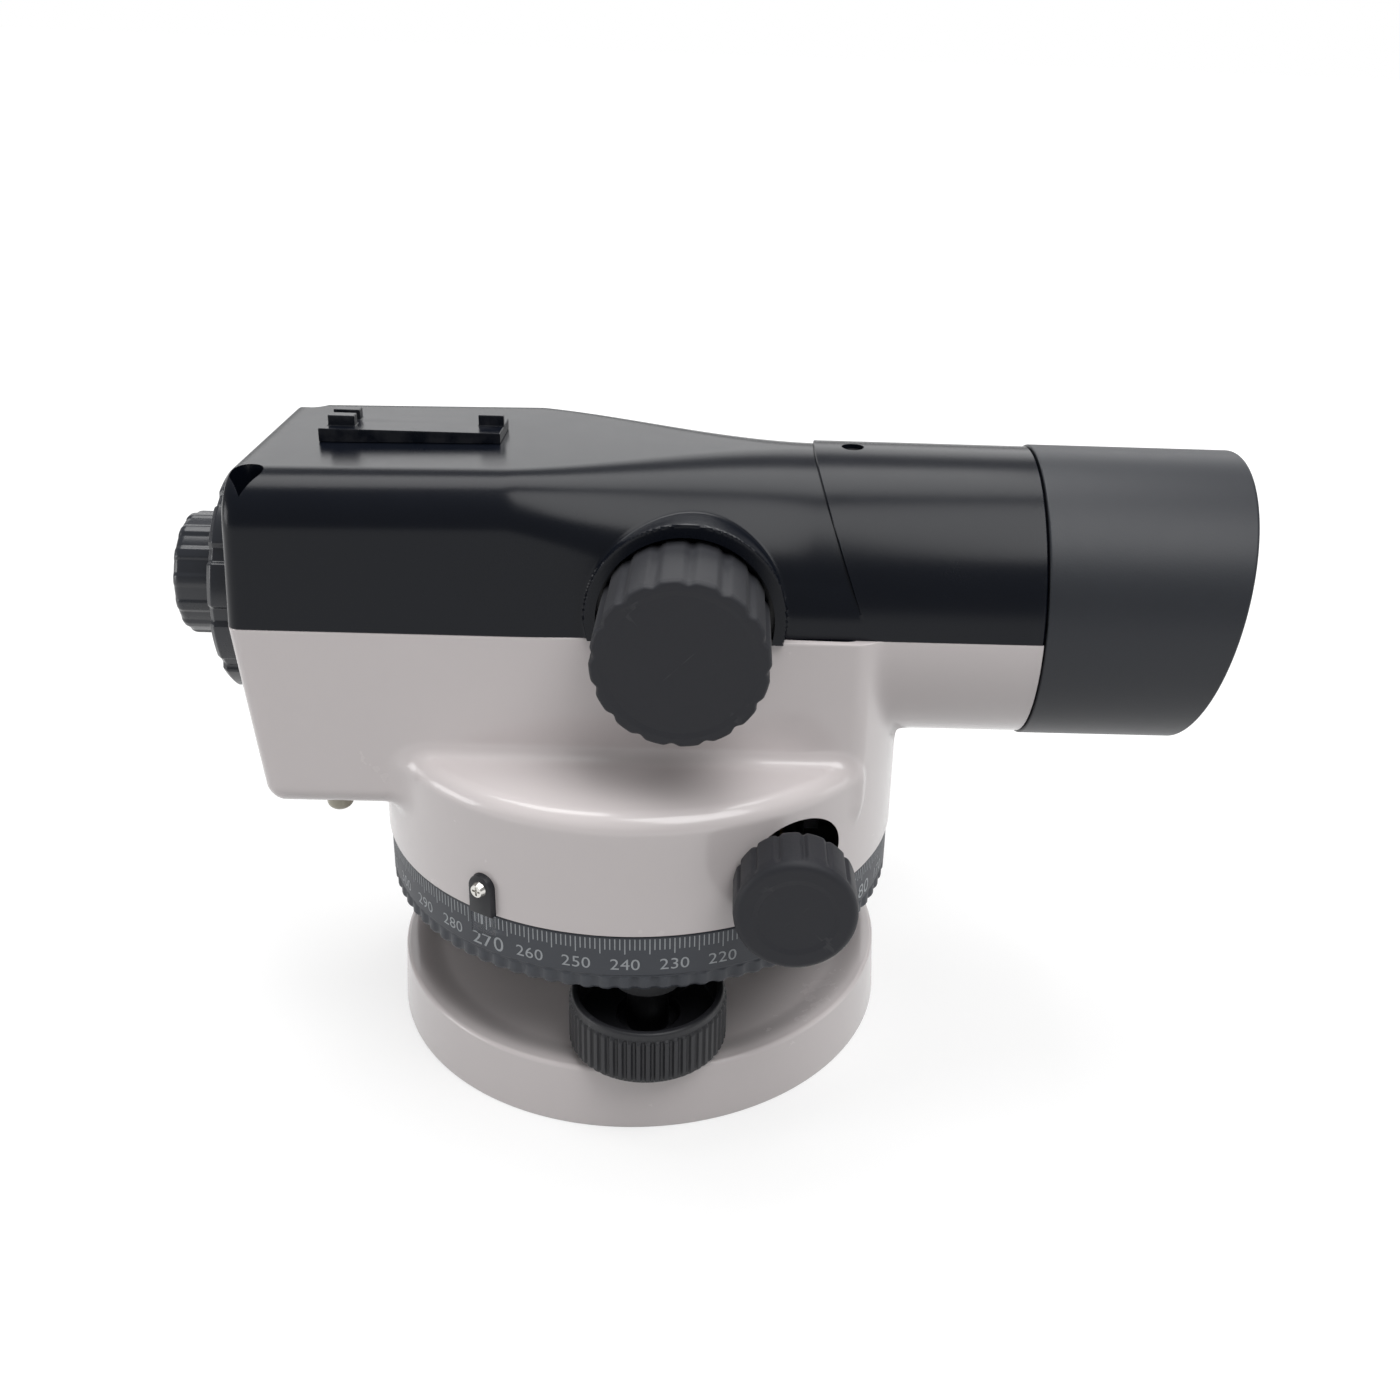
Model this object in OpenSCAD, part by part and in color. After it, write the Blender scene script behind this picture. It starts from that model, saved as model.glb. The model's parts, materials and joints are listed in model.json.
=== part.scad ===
/* [Base plate] */
// Height of the base plate's rim
base_h = 13.2; // [12.6:0.1:13.6]
// Minor radius of the tripod thread, 5/8 inch 11 turns per inch
tripod_r = 6.75; // [6.6:0.05:6.9]
// Height of the plate's flat top inside the rim
floor_z = 11.8; // [11.4:0.1:12]

/* [Foot screws] */
// Angle of the front foot screw, seen from above
foot_turn = -85; // [-90:1:-80]
// Radius of a foot screw's ball
ball_r = 4.5; // [4:0.1:4.8]
// Height of the centres of the balls
ball_z = 9; // [8.5:0.1:9.4]
// Radius of a foot screw's thread
foot_thread_r = 4; // [3.5:0.1:4.4]
// Height of a foot screw's knob
foot_knob_h = 11.3; // [9:0.1:11.6]
// Number of ribs round a foot screw's knob
foot_ribs = 54; // [36:2:64]

/* [Levelling head and circle] */
// Radius of the graduated circle, which the base and the turret follow
circle_r = 52; // [50:0.5:55]
// Height of the circle's lower edge
circle_z = 32.4; // [32:0.1:33]
// Height of the circle's band
circle_h = 11.9; // [11.5:0.1:12]
// Number of grip flutes under the scale
circle_flutes = 90; // [60:2:120]
// Radius of the journal that the circle turns on
circle_journal_r = 29.9; // [28:0.1:31]
// Radius of the vertical spindle
spindle_r = 8; // [7:0.1:9]

/* [Fine motion] */
// Number of teeth on the worm wheel
wheel_teeth = 77; // [77:1:77]
// Pitch of the worm
worm_pitch = 2; // [1.95:0.01:2.05]
// Pitch radius of the worm
worm_r = 5.8; // [5.6:0.1:6]
// Radius of the fine motion knobs
tangent_knob_r = 11.1; // [10:0.1:11.6]
// Length of a fine motion knob
tangent_knob_l = 11; // [9:0.5:14]
// Number of hollows round a fine motion knob
tangent_flutes = 15; // [8:1:18]
// Height of the worm's axis
worm_z = 54.7; // [54.5:0.1:55]

/* [Housing] */
// Height of the turret's shoulder
shoulder_z = 69; // [68:0.1:70]
// Half width of the telescope's box
box_w = 30.5; // [30:0.1:32]
// Wall of the turret's skirt
skirt_wall = 3; // [2.5:0.1:3.4]
// Wall of the telescope's box
box_wall = 2.8; // [2.2:0.1:3]
// Height of the telescope's axis
axis_z = 93.7; // [93.2:0.1:94.2]
// Rounding of the cover's long edges at the rear
cover_round = 10; // [8:0.5:12]
// Wall of the top cover
cover_wall = 2.2; // [1.8:0.1:2.6]

/* [Objective end] */
// Radius of the telescope's tube
tube_r = 28.5; // [28.2:0.1:29]
// Where the tube ends and the sunshade begins
tube_end = 75.3; // [74:0.1:78]
// Radius of the sunshade
shade_r = 28.9; // [28.9:0.1:30]
// Length of the sunshade along the axis
shade_l = 35.4; // [30:0.5:45]
// Slant of the sunshade's mouth, in degrees
shade_slant = 10.5; // [0:0.5:14]
// Radius of the sunshade's mouth inside
shade_bore_r = 26.8; // [26.3:0.1:27.2]

/* [Focusing] */
// Radius of the focusing knob
focus_knob_r = 15.5; // [14:0.1:15.7]
// Length of the focusing knob
focus_knob_l = 18.2; // [14:0.2:22]
// Where the focusing shaft lies along the telescope
focus_x = 9.3; // [8:0.1:11]
// Number of hollows round the focusing knob
focus_flutes = 16; // [10:1:20]
// Number of teeth on the focusing pinion
pinion_teeth = 12; // [12:1:12]
// Pitch radius of the focusing pinion
pinion_r = 3.6; // [3.5:0.05:3.7]

/* [Eyepiece] */
// Radius of the large eyepiece cover
eye_cover_r = 22.9; // [21:0.1:24]
// Radius of the dioptre ring
dioptre_r = 12.1; // [11.8:0.1:13]
// Length of the dioptre ring
dioptre_l = 10; // [9.5:0.1:12]

/* [Clearances] */
// Gap between a turning piece and what it turns on
run_gap = 0.06; // [0.03:0.01:0.1]
// Gap between pieces that only pass each other
free_gap = 0.3; // [0.25:0.05:0.5]

/* [Hidden] */
$fn = 96;

// Round pieces in line with the graduated circle
circle_step = 0.4;
turret_r = circle_r + circle_step;
base_step = 0.5;
base_r = circle_r - base_step;
foot_inset = 10.5;
foot_circle_r = circle_r - foot_inset;
head_hub_r = 23.5;
knob_space = 2.8;
foot_knob_r = foot_circle_r - head_hub_r - knob_space;

// Foot screws
foot_angles = [foot_turn, foot_turn + 120, foot_turn + 240];
rim_round = 1.8;
rim_w = 0.6;
rim_slope = 5.6;
base_draft = 0.7;
floor_r = base_r - base_draft - rim_round - rim_w - rim_slope;
hub_r = 17;
foot_pad_r = 9;
socket_gap = 0.15;
plate_t = 0.8;
plate_disc_r = 22;
plate_hole_r = 13;
plate_arm_w = 11;
plate_screw_r = 26;
small_screw_r = 1.25;
small_head_r = 2.4;
neck_r = 2.9;
journal_r = 2.05;
shoe_top = ball_z + 5;
foot_knob_z = shoe_top + 0.6;
foot_screw_top = ball_z + 27.8;
knob_floor = 3;
knob_wall = 1.5;
rib_h = 0.45;

// Levelling head
head_r = circle_r - 5;
head_z = 30.5;
head_t = 3.5;
boss_r = 7;
boss_z = head_z - 2;
bush_r = 5.5;
bush_l = 11;
web_z = circle_z + 8.6;
boss_top = web_z - 0.6;
web_t = 2;
circle_wall = 2.4;
hub_z = 17;
nut_pocket_z = hub_z + 4.8;
nut_r = 10.6;
journal_top = web_z + 4;
tube_or = 13;
wheel_t = 5;
wheel_z = worm_z - wheel_t / 2;
spindle_flange_r = 18;
roof_t = 3.5;
roof_z = shoulder_z - roof_t;
spindle_flange_z = roof_z - 4;

// Worm and wheel
wheel_r = wheel_teeth * worm_pitch / (2 * PI);
worm_x = wheel_r + worm_r;
addendum = 0.3 * worm_pitch;
dedendum = 0.4 * worm_pitch;
tooth_t = 0.4 * worm_pitch;
flank = tan(20);
worm_turns = 6;
worm_sides = 24;
worm_half = worm_pitch * (worm_turns + 1) / 2 + 0.3;
knob_gap = 0.25;
tangent_shaft_r = 2.5;
tangent_bush_r = 4;
tangent_hole_r = 8.9;
tangent_y = sqrt(pow(turret_r, 2) - pow(worm_x - tangent_knob_r, 2)) + knob_gap;
ear_y = 13;
ear_t = 6;
ear_half = 6;

// Housing
skirt_z = circle_z + circle_h + free_gap;
shoulder_round = 4;
box_z = shoulder_z - 11.8;
box_edge = 4;
rear_overhang = 20.9;
rear_x = -turret_r - rear_overhang;
rear_slant_up = 0.05;
rear_slant_down = 0.115;
rear_round = 3;
rear_top_round = 0.8;
cove_r = 2.5;
box_floor_t = 3;
tube_wall = 2.5;
barrel_r = tube_r - tube_wall;
rear_wall = 3;
seat_r = 12.5;
rod_y = 16;
rod_z = axis_z - 9.7;
rod_r = 1.5;

// Cover
loft_x0 = -22;
loft_x1 = 33;
loft_end = loft_x1 + 12;
trough_front = loft_x1 + 3.5;
rod_x1 = trough_front - 1;
rod_x0 = rod_x1 - 51.5;
web_top = rod_z + 3.5;
loft_r = tube_r - 0.6;
top_rear = axis_z + 27.7;
top_front = axis_z + 28.6;
arc_steps = 8;
step_slope = 0.36;
step_x = loft_x1 - 0.2;
well_x = rear_x + 4.5;
well_y = box_w - 7.7;
well_r = 2.7;
well_floor = top_rear - 9.4;
cover_screw_r = 1.5;
screw_post_r = 4.2;
lock_x = step_x + 7.6;
lock_r = 2.15;
sight_l = 34;
sight_w = 11;
sight_h = 2;

// Focusing
focus_z = axis_z + 3.9;
focus_y = box_w + 1.3;
focus_boss_r = 19;
focus_boss_y = box_w + 1.5;
focus_shaft_r = 2;
focus_bush_r = 6;
pinion_l = 5;
pinion_y0 = -20.5;
pinion_y1 = pinion_y0 + pinion_l;
rack_pitch = 2 * PI * pinion_r / pinion_teeth;
rack_line = focus_z - pinion_r;
rack_half = 17.5;
carriage_r = 14;
carriage_half = 8;
lens_r = 12;

// Eyepiece
eye_face = rear_x - 5.7;
eye_drop = 1;
eye_tube_r = 10.5;
ocular_r = 9;
ocular_l = 13;
eye_lens_r = 7.6;
reticle_r = 7.5;
reticle_x = rear_x + 8.3;

// Objective
objective_r = 21;
objective_t = 9;
objective_x = tube_end - 4.8;

// Index and check button
index_turn = -30.1;
index_depth = 1.2;
index_proud = 1.2;
index_half = 2.6;
index_top = skirt_z + 8.4;
index_screw_z = index_top - 2.75;
window_w = 2 * index_half;
window_z = circle_z + 7.8;
window_h = 6;
window_t = 1;
button_x = rear_x + 16.1;
button_r = 2.5;
button_dip = 1.9;
button_low = box_z - 1.9;
button_flange_r = 3.8;
button_y = button_flange_r + free_gap + box_wall - box_w;
bridge_z = box_z + 12.8;

// Compensator
pend_x = -34;
pivot_z = axis_z + 17.3;
prism_z = axis_z - 6.7;
frame_half = 15;
frame_w = 26;

// Circular level
level_x = -2;
level_r = 8.2;
level_h = 7;
level_y = box_w + cove_r + level_r;
mirror_y = box_w + 3.5;
mirror_z = shoulder_z + 15.5;
mirror_t = 3.2;
mirror_w = 15;
mirror_l = 16;
mirror_tilt = 45;

function polar(r, a) = [r * cos(a), r * sin(a)];
function arc(c, r, a0, a1, n) = [for (i = [0 : n]) c + polar(r, a0 + (a1 - a0) * i / n)];
function clamp(v) = max(0, min(1, v));
function smooth(u) = 3 * u * u - 2 * u * u * u;

// Outline with trapezoid teeth, the first one at angle turn
function toothed(n, r_root, r_tip, root_half, tip_half, turn) = [
  for (i = [0 : n - 1])
    for (c = [[r_root, -root_half], [r_tip, -tip_half], [r_tip, tip_half], [r_root, root_half]])
      polar(c[0], 360 * i / n + turn + c[1])
];

// Outline of a grip: broad lands with shallow hollows between them
function fluted(n, r, depth, land) = [
  for (i = [0 : n - 1])
    for (s = [0 : 7])
      let (u = s / 8, w = u < land ? 0 : sin(180 * (u - land) / (1 - land)))
        polar(r - depth * w, 360 * (i + u) / n)
];

module at_feet(list = [0, 1, 2]) {
  for (i = list)
    rotate([0, 0, foot_angles[i]])
      translate([foot_circle_r, 0, 0])
        children();
}

module along_x(x0, x1, r) {
  translate([x0, 0, axis_z])
    rotate([0, 90, 0])
      cylinder(h = x1 - x0, r = r);
}

module along_y(x, z, y0, y1, r) {
  translate([x, y0, z])
    rotate([-90, 0, 0])
      cylinder(h = y1 - y0, r = r);
}

module ring(z0, z1, r_out, r_in) {
  translate([0, 0, z0])
    difference() {
      cylinder(h = z1 - z0, r = r_out);
      translate([0, 0, -1])
        cylinder(h = z1 - z0 + 2, r = r_in);
    }
}

// Base
module base_plate() color("gainsboro") {
  rim = base_r - base_draft;
  difference() {
    rotate_extrude()
      polygon(concat(
        [[0, 0], [base_r, 0], [base_r, 1]],
        arc([rim - rim_round, base_h - rim_round], rim_round, 0, 90, 6),
        [[floor_r + rim_slope, base_h], [floor_r, floor_z], [0, floor_z]]));
    difference() {
      ring(-1, floor_z - 4, base_r - 7, hub_r);
      at_feet()
        translate([0, 0, -2])
          cylinder(h = floor_z, r = foot_pad_r);
    }
    translate([0, 0, -1])
      cylinder(h = base_h + 2, r = tripod_r);
    at_feet() {
      translate([0, 0, ball_z])
        sphere(r = ball_r + socket_gap);
      translate([0, 0, ball_z])
        cylinder(h = base_h, r = ball_r + socket_gap);
    }
    for (a = foot_angles)
      rotate([0, 0, a])
        translate([plate_screw_r, 0, floor_z - 3])
          cylinder(h = 4, r = small_screw_r);
  }
}

// Three forked arms that hold the balls down
module spring_plate() color("silver") {
  translate([0, 0, floor_z])
    linear_extrude(plate_t)
      difference() {
        union() {
          circle(r = plate_disc_r);
          intersection() {
            circle(r = floor_r - free_gap);
            for (a = foot_angles)
              rotate([0, 0, a])
                translate([0, -plate_arm_w / 2])
                  square([base_r, plate_arm_w]);
          }
        }
        circle(r = plate_hole_r);
        for (a = foot_angles)
          rotate([0, 0, a]) {
            translate([foot_circle_r, 0])
              circle(r = neck_r + 0.8);
            translate([plate_screw_r, 0])
              circle(r = small_screw_r);
          }
      }
}

module spring_plate_screws() color("dimgray") {
  for (a = foot_angles)
    rotate([0, 0, a])
      translate([plate_screw_r, 0, 0]) {
        translate([0, 0, floor_z - 3])
          cylinder(h = 3 + plate_t, r = small_screw_r);
        translate([0, 0, floor_z + plate_t])
          cylinder(h = 1, r1 = small_head_r, r2 = small_head_r - 0.5);
      }
}

// Levelling head with the bearing tube and the journal of the circle
module levelling_head() color("dimgray") {
  tube_ir = spindle_r + run_gap;
  difference() {
    union() {
      rotate_extrude()
        polygon([
          [tube_ir, nut_pocket_z], [nut_r + 0.6, nut_pocket_z], [nut_r + 0.6, hub_z], [head_hub_r - 1.5, hub_z],
          [head_hub_r, hub_z + 1.5], [head_hub_r, head_z], [head_r - 1, head_z], [head_r, head_z + 1],
          [head_r, head_z + head_t - 1], [head_r - 1, head_z + head_t],
          [circle_journal_r + 4, head_z + head_t], [circle_journal_r + 4, web_z - 0.1], [circle_journal_r, web_z - 0.1], [circle_journal_r, web_z + web_t],
          [circle_journal_r - 0.7, web_z + web_t], [circle_journal_r - 0.7, web_z + web_t + 1],
          [circle_journal_r, web_z + web_t + 1], [circle_journal_r, journal_top], [tube_or + 3, journal_top],
          [tube_or + 3, wheel_z - 0.1], [tube_or, wheel_z - 0.1], [tube_or, spindle_flange_z - 0.1],
          [tube_ir, spindle_flange_z - 0.1]]);
      at_feet()
        translate([0, 0, boss_z])
          cylinder(h = boss_top - boss_z, r = boss_r);
    }
    at_feet()
      translate([0, 0, boss_z - 1])
        cylinder(h = bush_l + 1.4, r = bush_r);
  }
}

module foot_bushes() color("goldenrod") {
  at_feet()
    ring(boss_z, boss_z + bush_l, bush_r, foot_thread_r + run_gap);
}

module foot_ball(list) {
  at_feet(list)
    difference() {
      union() {
        translate([0, 0, ball_z])
          sphere(r = ball_r);
        translate([0, 0, ball_z])
          cylinder(h = shoe_top - ball_z, r = neck_r);
      }
      translate([0, 0, ball_z - 2.9])
        cylinder(h = 20, r = journal_r + run_gap);
    }
}

module foot_screw(i) {
  at_feet([i])
    union() {
      translate([0, 0, ball_z - 2.7])
        cylinder(h = 10, r = journal_r);
      translate([0, 0, shoe_top + 0.1])
        cylinder(h = foot_screw_top - shoe_top - 0.1, r = foot_thread_r);
    }
}

module foot_knob(i) {
  core = foot_knob_r - rib_h;
  at_feet([i])
    translate([0, 0, foot_knob_z])
      difference() {
        union() {
          rotate_extrude()
            polygon([[0, 0], [core - 0.8, 0], [core, 0.8], [core, foot_knob_h - 0.6], [core - 0.6, foot_knob_h], [0, foot_knob_h]]);
          intersection() {
            translate([0, 0, 0.5])
              linear_extrude(foot_knob_h - 2)
                polygon(toothed(foot_ribs, core - 0.1, foot_knob_r, 2, 1, 0));
            rotate_extrude()
              polygon([[0, 0.4], [core, 0.4], [foot_knob_r + 0.1, 1.4], [foot_knob_r + 0.1, foot_knob_h - 2.4],
                [core - 0.1, foot_knob_h - 1.4], [0, foot_knob_h - 1.4]]);
          }
        }
        translate([0, 0, knob_floor])
          ring(0, foot_knob_h, core - knob_wall, 6);
        translate([0, 0, knob_floor + 2.5])
          cylinder(h = foot_knob_h, r = core - knob_wall);
        translate([0, 0, -1])
          cylinder(h = foot_knob_h, r = foot_thread_r);
      }
}

// Graduated circle with its fluted grip
module horizontal_circle() color("slategray") {
  inner = circle_r - circle_wall;
  grip_h = 3.2;
  grip_r = circle_r - 0.8;
  union() {
    rotate_extrude()
      polygon([
        [circle_journal_r + run_gap, web_z], [inner, web_z], [inner, circle_z], [grip_r, circle_z],
        [grip_r, circle_z + grip_h], [circle_r, circle_z + grip_h], [circle_r, circle_z + circle_h - 0.4],
        [circle_r - 0.4, circle_z + circle_h], [inner, circle_z + circle_h], [inner, web_z + web_t],
        [circle_journal_r + run_gap, web_z + web_t]]);
    translate([0, 0, circle_z + 0.3])
      linear_extrude(grip_h + 0.2)
        difference() {
          polygon(toothed(circle_flutes, grip_r - 0.2, circle_r - 0.05, 1.5, 0.9, 0));
          circle(r = inner + 0.8);
        }
  }
}

module circle_spring() color("silver") {
  ring(web_z + web_t + 0.1, web_z + web_t + 0.9, circle_journal_r + 3, circle_journal_r - 0.7);
}

// Worm wheel that slips on the bearing tube for coarse turning
module worm_wheel() color("goldenrod") {
  to_deg = 180 / PI / wheel_r;
  tip = tooth_t / 2 - addendum * flank;
  root = tooth_t / 2 + dedendum * flank;
  translate([0, 0, wheel_z])
    difference() {
      linear_extrude(wheel_t)
        polygon(toothed(wheel_teeth, wheel_r - dedendum, wheel_r + addendum, root * to_deg, tip * to_deg, 180 / wheel_teeth));
      translate([0, 0, -1])
        cylinder(h = wheel_t + 2, r = tube_or + run_gap);
      for (a = [0 : 60 : 300])
        rotate([0, 0, a])
          translate([18.4, 0, -1])
            cylinder(h = wheel_t + 2, r = 2.4);
    }
}

module wheel_spring() color("silver") {
  z = wheel_z + wheel_t + 0.1;
  rotate_extrude()
    polygon([[tube_or, z + 0.5], [17, z], [17, z + 0.4], [tube_or, z + 0.9]]);
}

module wheel_nut() color("silver") {
  z = wheel_z + wheel_t + 1;
  difference() {
    ring(z, z + 2.4, 17.5, tube_or);
    for (a = [45 : 90 : 315])
      rotate([0, 0, a])
        translate([15.8, -1.5, z - 1])
          cube([4, 3, 5]);
  }
}

// Rear face of the box as a function of height, leaning forward above and below the joint
function rear_at(z) = z > axis_z ? rear_x + rear_slant_up * (z - axis_z) : rear_x + rear_slant_down * (axis_z - z);

// Lower half of the telescope's box: the side view, the end view and the plan meet in it
module box_lower() {
  corner = [rear_at(box_z) + 5, box_z + 5];
  intersection() {
    translate([0, box_w, 0])
      rotate([90, 0, 0])
        linear_extrude(2 * box_w)
          polygon(concat(
            [[turret_r, axis_z], [rear_at(axis_z - 0.01), axis_z], [rear_at(box_z + 6), box_z + 6]],
            arc(corner, 5, 187, 270, 6),
            [[turret_r, box_z]]));
    rotate([90, 0, 90])
      translate([0, 0, -100])
        linear_extrude(200)
          polygon(concat(
            [[-box_w, axis_z]],
            arc([-box_w + box_edge, box_z + box_edge], box_edge, 180, 270, 6),
            arc([box_w - box_edge, box_z + box_edge], box_edge, 270, 360, 6),
            [[box_w, axis_z]]));
    union() {
      translate([0, 0, box_z - 1])
        cylinder(h = 40, r = turret_r);
      difference() {
        translate([rear_x - 5, -box_w, box_z - 1])
          cube([5 - rear_x, 2 * box_w, 40]);
        rear_corners(box_z - 1, 42);
      }
    }
  }
}

// Cuts the two upright rear corners round
module rear_corners(z0, h) {
  for (s = [-1, 1])
    translate([rear_x + rear_round, s * (box_w - rear_round), z0])
      difference() {
        translate([-rear_round - 5, s > 0 ? 0 : -rear_round - 5, 0])
          cube([rear_round + 5, rear_round + 5, h]);
        translate([0, 0, -1])
          cylinder(h = h + 2, r = rear_round, $fn = 48);
      }
}

// Concave fillets between the shoulder and the box
module coves() {
  intersection() {
    for (s = [-1, 1])
      translate([-turret_r, s * box_w, shoulder_z])
        rotate([90, 0, 90])
          linear_extrude(2 * turret_r)
            polygon(concat([[-s, -1], [-s, cove_r]], arc([s * cove_r, cove_r], cove_r, s > 0 ? 180 : 0, s > 0 ? 270 : -90, 5), [[s * cove_r, -1]]));
    translate([0, 0, shoulder_z - 2])
      cylinder(h = 10, r = turret_r - shoulder_round);
  }
}

module turret_solid() {
  rotate_extrude()
    polygon(concat(
      [[0, skirt_z], [turret_r, skirt_z]],
      arc([turret_r - shoulder_round, shoulder_z - shoulder_round], shoulder_round, 0, 90, 8),
      [[0, shoulder_z]]));
}

// Space inside the telescope's box
module trough() {
  half = box_w - box_wall;
  translate([rear_x + rear_wall + 0.6, -half, shoulder_z])
    cube([trough_front - rear_x - rear_wall - 0.6, 2 * half, 40]);
  difference() {
    translate([rear_at(box_z + box_floor_t) + rear_wall + 1.2, -half, box_z + box_floor_t])
      cube([-rear_x / 2, 2 * half, axis_z - box_z]);
    translate([0, 0, box_z - 1])
      cylinder(h = axis_z - box_z, r = turret_r);
  }
}

module index_slot(depth, grow, z0, proud) {
  rotate([0, 0, index_turn])
    translate([0, -turret_r + depth, 0])
      rotate([90, 0, 0])
        linear_extrude(depth + proud + grow)
          union() {
            translate([-index_half - grow, z0])
              square([2 * (index_half + grow), index_top - index_half - z0]);
            translate([0, index_top - index_half])
              circle(r = index_half + grow);
          }
}

module mirror_ears() {
  for (x = [level_x - mirror_w / 2 - 2.3, level_x + mirror_w / 2 + 0.3])
    translate([x, 0, 0])
      rotate([90, 0, 90])
        linear_extrude(2)
          union() {
            translate([mirror_y, mirror_z])
              circle(r = 2.6);
            translate([box_w - 1, mirror_z - 2.6])
              square([mirror_y - box_w + 1, 5.2]);
          }
}

module housing() color("whitesmoke") {
  difference() {
    union() {
      difference() {
        union() {
          turret_solid();
          box_lower();
          coves();
          intersection() {
            along_x(20, tube_end, tube_r);
            translate([0, -turret_r, 0])
              cube([2 * tube_end, 2 * turret_r, axis_z]);
          }
        }
        trough();
        translate([0, 0, skirt_z - 1])
          cylinder(h = roof_z - skirt_z + 1, r = turret_r - skirt_wall);
      }
      for (x = [rod_x0 - 0.5, rod_x1 - 3.5])
        translate([x, -box_w + 1, shoulder_z - 1])
          cube([4, 2 * box_w - 2, web_top - shoulder_z + 1]);
      for (s = [-1, 1])
        translate([well_x, s * well_y, box_z + 1])
          cylinder(h = axis_z - box_z - 1, r = screw_post_r);
      translate([button_x - 4, -box_w + 1, bridge_z])
        cube([8, box_w + button_y + 4, 2]);
      mirror_ears();
    }
    along_x(trough_front - 0.01, tube_end + 1, barrel_r);
    along_x(-20, trough_front, carriage_r + 1.5);
    on_eye_axis()
      along_x(rear_x - 7, rear_x + 13, seat_r);
    for (s = [-1, 1]) {
      translate([well_x, s * well_y, axis_z - 9])
        cylinder(h = 12, r = cover_screw_r);
      translate([0, s * rod_y, -axis_z + rod_z])
        along_x(rod_x0, rod_x1, rod_r);
    }
    translate([button_x, button_y, box_z - 1])
      cylinder(h = box_floor_t + 2, r = button_r + 0.1);
    along_y(worm_x, worm_z, -turret_r - 8, turret_r + 8, tangent_hole_r);
    along_y(focus_x, focus_z, -focus_boss_y - 7, -10, focus_bush_r);
    index_slot(index_depth, 0, skirt_z - 1, 1);
    rotate([0, 0, index_turn])
      translate([0, -turret_r + 3.5, index_screw_z])
        rotate([90, 0, 0])
          cylinder(h = 4, r = 0.8);
    translate([level_x - 20, mirror_y, mirror_z])
      rotate([0, 90, 0])
        cylinder(h = 40, r = 1 + run_gap);
    for (p = inner_screw_places())
      translate([p[0], p[1], p[2] - 1])
        cylinder(h = p[3] + 1, r = small_screw_r);
  }
}

// Half width, height of the top and edge rounding of the cover along the telescope
function loft_u(x) = clamp((x - loft_x0) / (loft_x1 - loft_x0));
function loft_mix(x) = (smooth(loft_u(x)) + sin(90 * loft_u(x))) / 2;
function loft_w(x) = box_w + (loft_r - box_w) * smooth(loft_u(x));
function loft_top(x) = x < loft_x0
  ? top_rear + (top_front - top_rear) * (x - rear_x) / (loft_x0 - rear_x)
  : top_front + (axis_z + loft_r - top_front) * loft_u(x);
function loft_round(x) = cover_round + (loft_r - cover_round) * loft_mix(x);

// One section of the cover: half an outline with rounded upper corners
function cover_section(x, side, top, low, lean) =
  let (w = loft_w(x) - side, t = loft_top(x) - top, r = min(loft_round(x) - side, t - low - 0.1, w - 0.1))
  [for (q = concat([[w, low]], arc([w - r, t - r], r, 0, 90, arc_steps), arc([r - w, t - r], r, 90, 180, arc_steps), [[-w, low]]))
    [x + lean * rear_slant_up * (q[1] - axis_z), q[0], q[1]]];

// Skin through a row of sections, closed at both ends
module skin(rows) {
  n = len(rows[0]);
  m = len(rows);
  polyhedron(
    points = [for (row = rows) for (q = row) q],
    faces = concat(
      [[for (i = [0 : n - 1]) i]],
      [for (j = [0 : m - 2]) for (i = [0 : n - 1]) [j * n + i, (j + 1) * n + i, (j + 1) * n + (i + 1) % n]],
      [for (j = [0 : m - 2]) for (i = [0 : n - 1]) [j * n + i, (j + 1) * n + (i + 1) % n, j * n + (i + 1) % n]],
      [[for (i = [n - 1 : -1 : 0]) (m - 1) * n + i]]),
    convexity = 6);
}

loft_steps = 10;
loft_stations = [for (i = [0 : loft_steps]) loft_x0 + (loft_x1 - loft_x0) * i / loft_steps];

module cover_outside() {
  rows = concat(
    [for (a = [0, 30, 60, 90])
      let (in = 1 - sin(a))
      cover_section(rear_x + rear_round * (1 - cos(a)), rear_round * in, rear_top_round * in, axis_z, 1)],
    [for (x = loft_stations) cover_section(x, 0, 0, axis_z, 0)],
    [cover_section(loft_end, 0, 0, axis_z, 0)]);
  skin(rows);
}

module cover_inside() {
  rows = concat(
    [cover_section(rear_x + rear_wall + 0.6, cover_wall, cover_wall, axis_z - 1, 0)],
    [for (x = loft_stations) cover_section(x, cover_wall, cover_wall, axis_z - 1, 0)],
    [cover_section(trough_front, cover_wall, cover_wall, axis_z - 1, 0)]);
  skin(rows);
}

// Upright screw hole that runs out over the rounded edge as a drop shape
module screw_well(s) {
  translate([well_x, s * well_y, well_floor])
    linear_extrude(20)
      union() {
        circle(r = well_r);
        polygon([polar(well_r, s * 30), [0, s * 5.2], polar(well_r, s * 150)]);
      }
}

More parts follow.
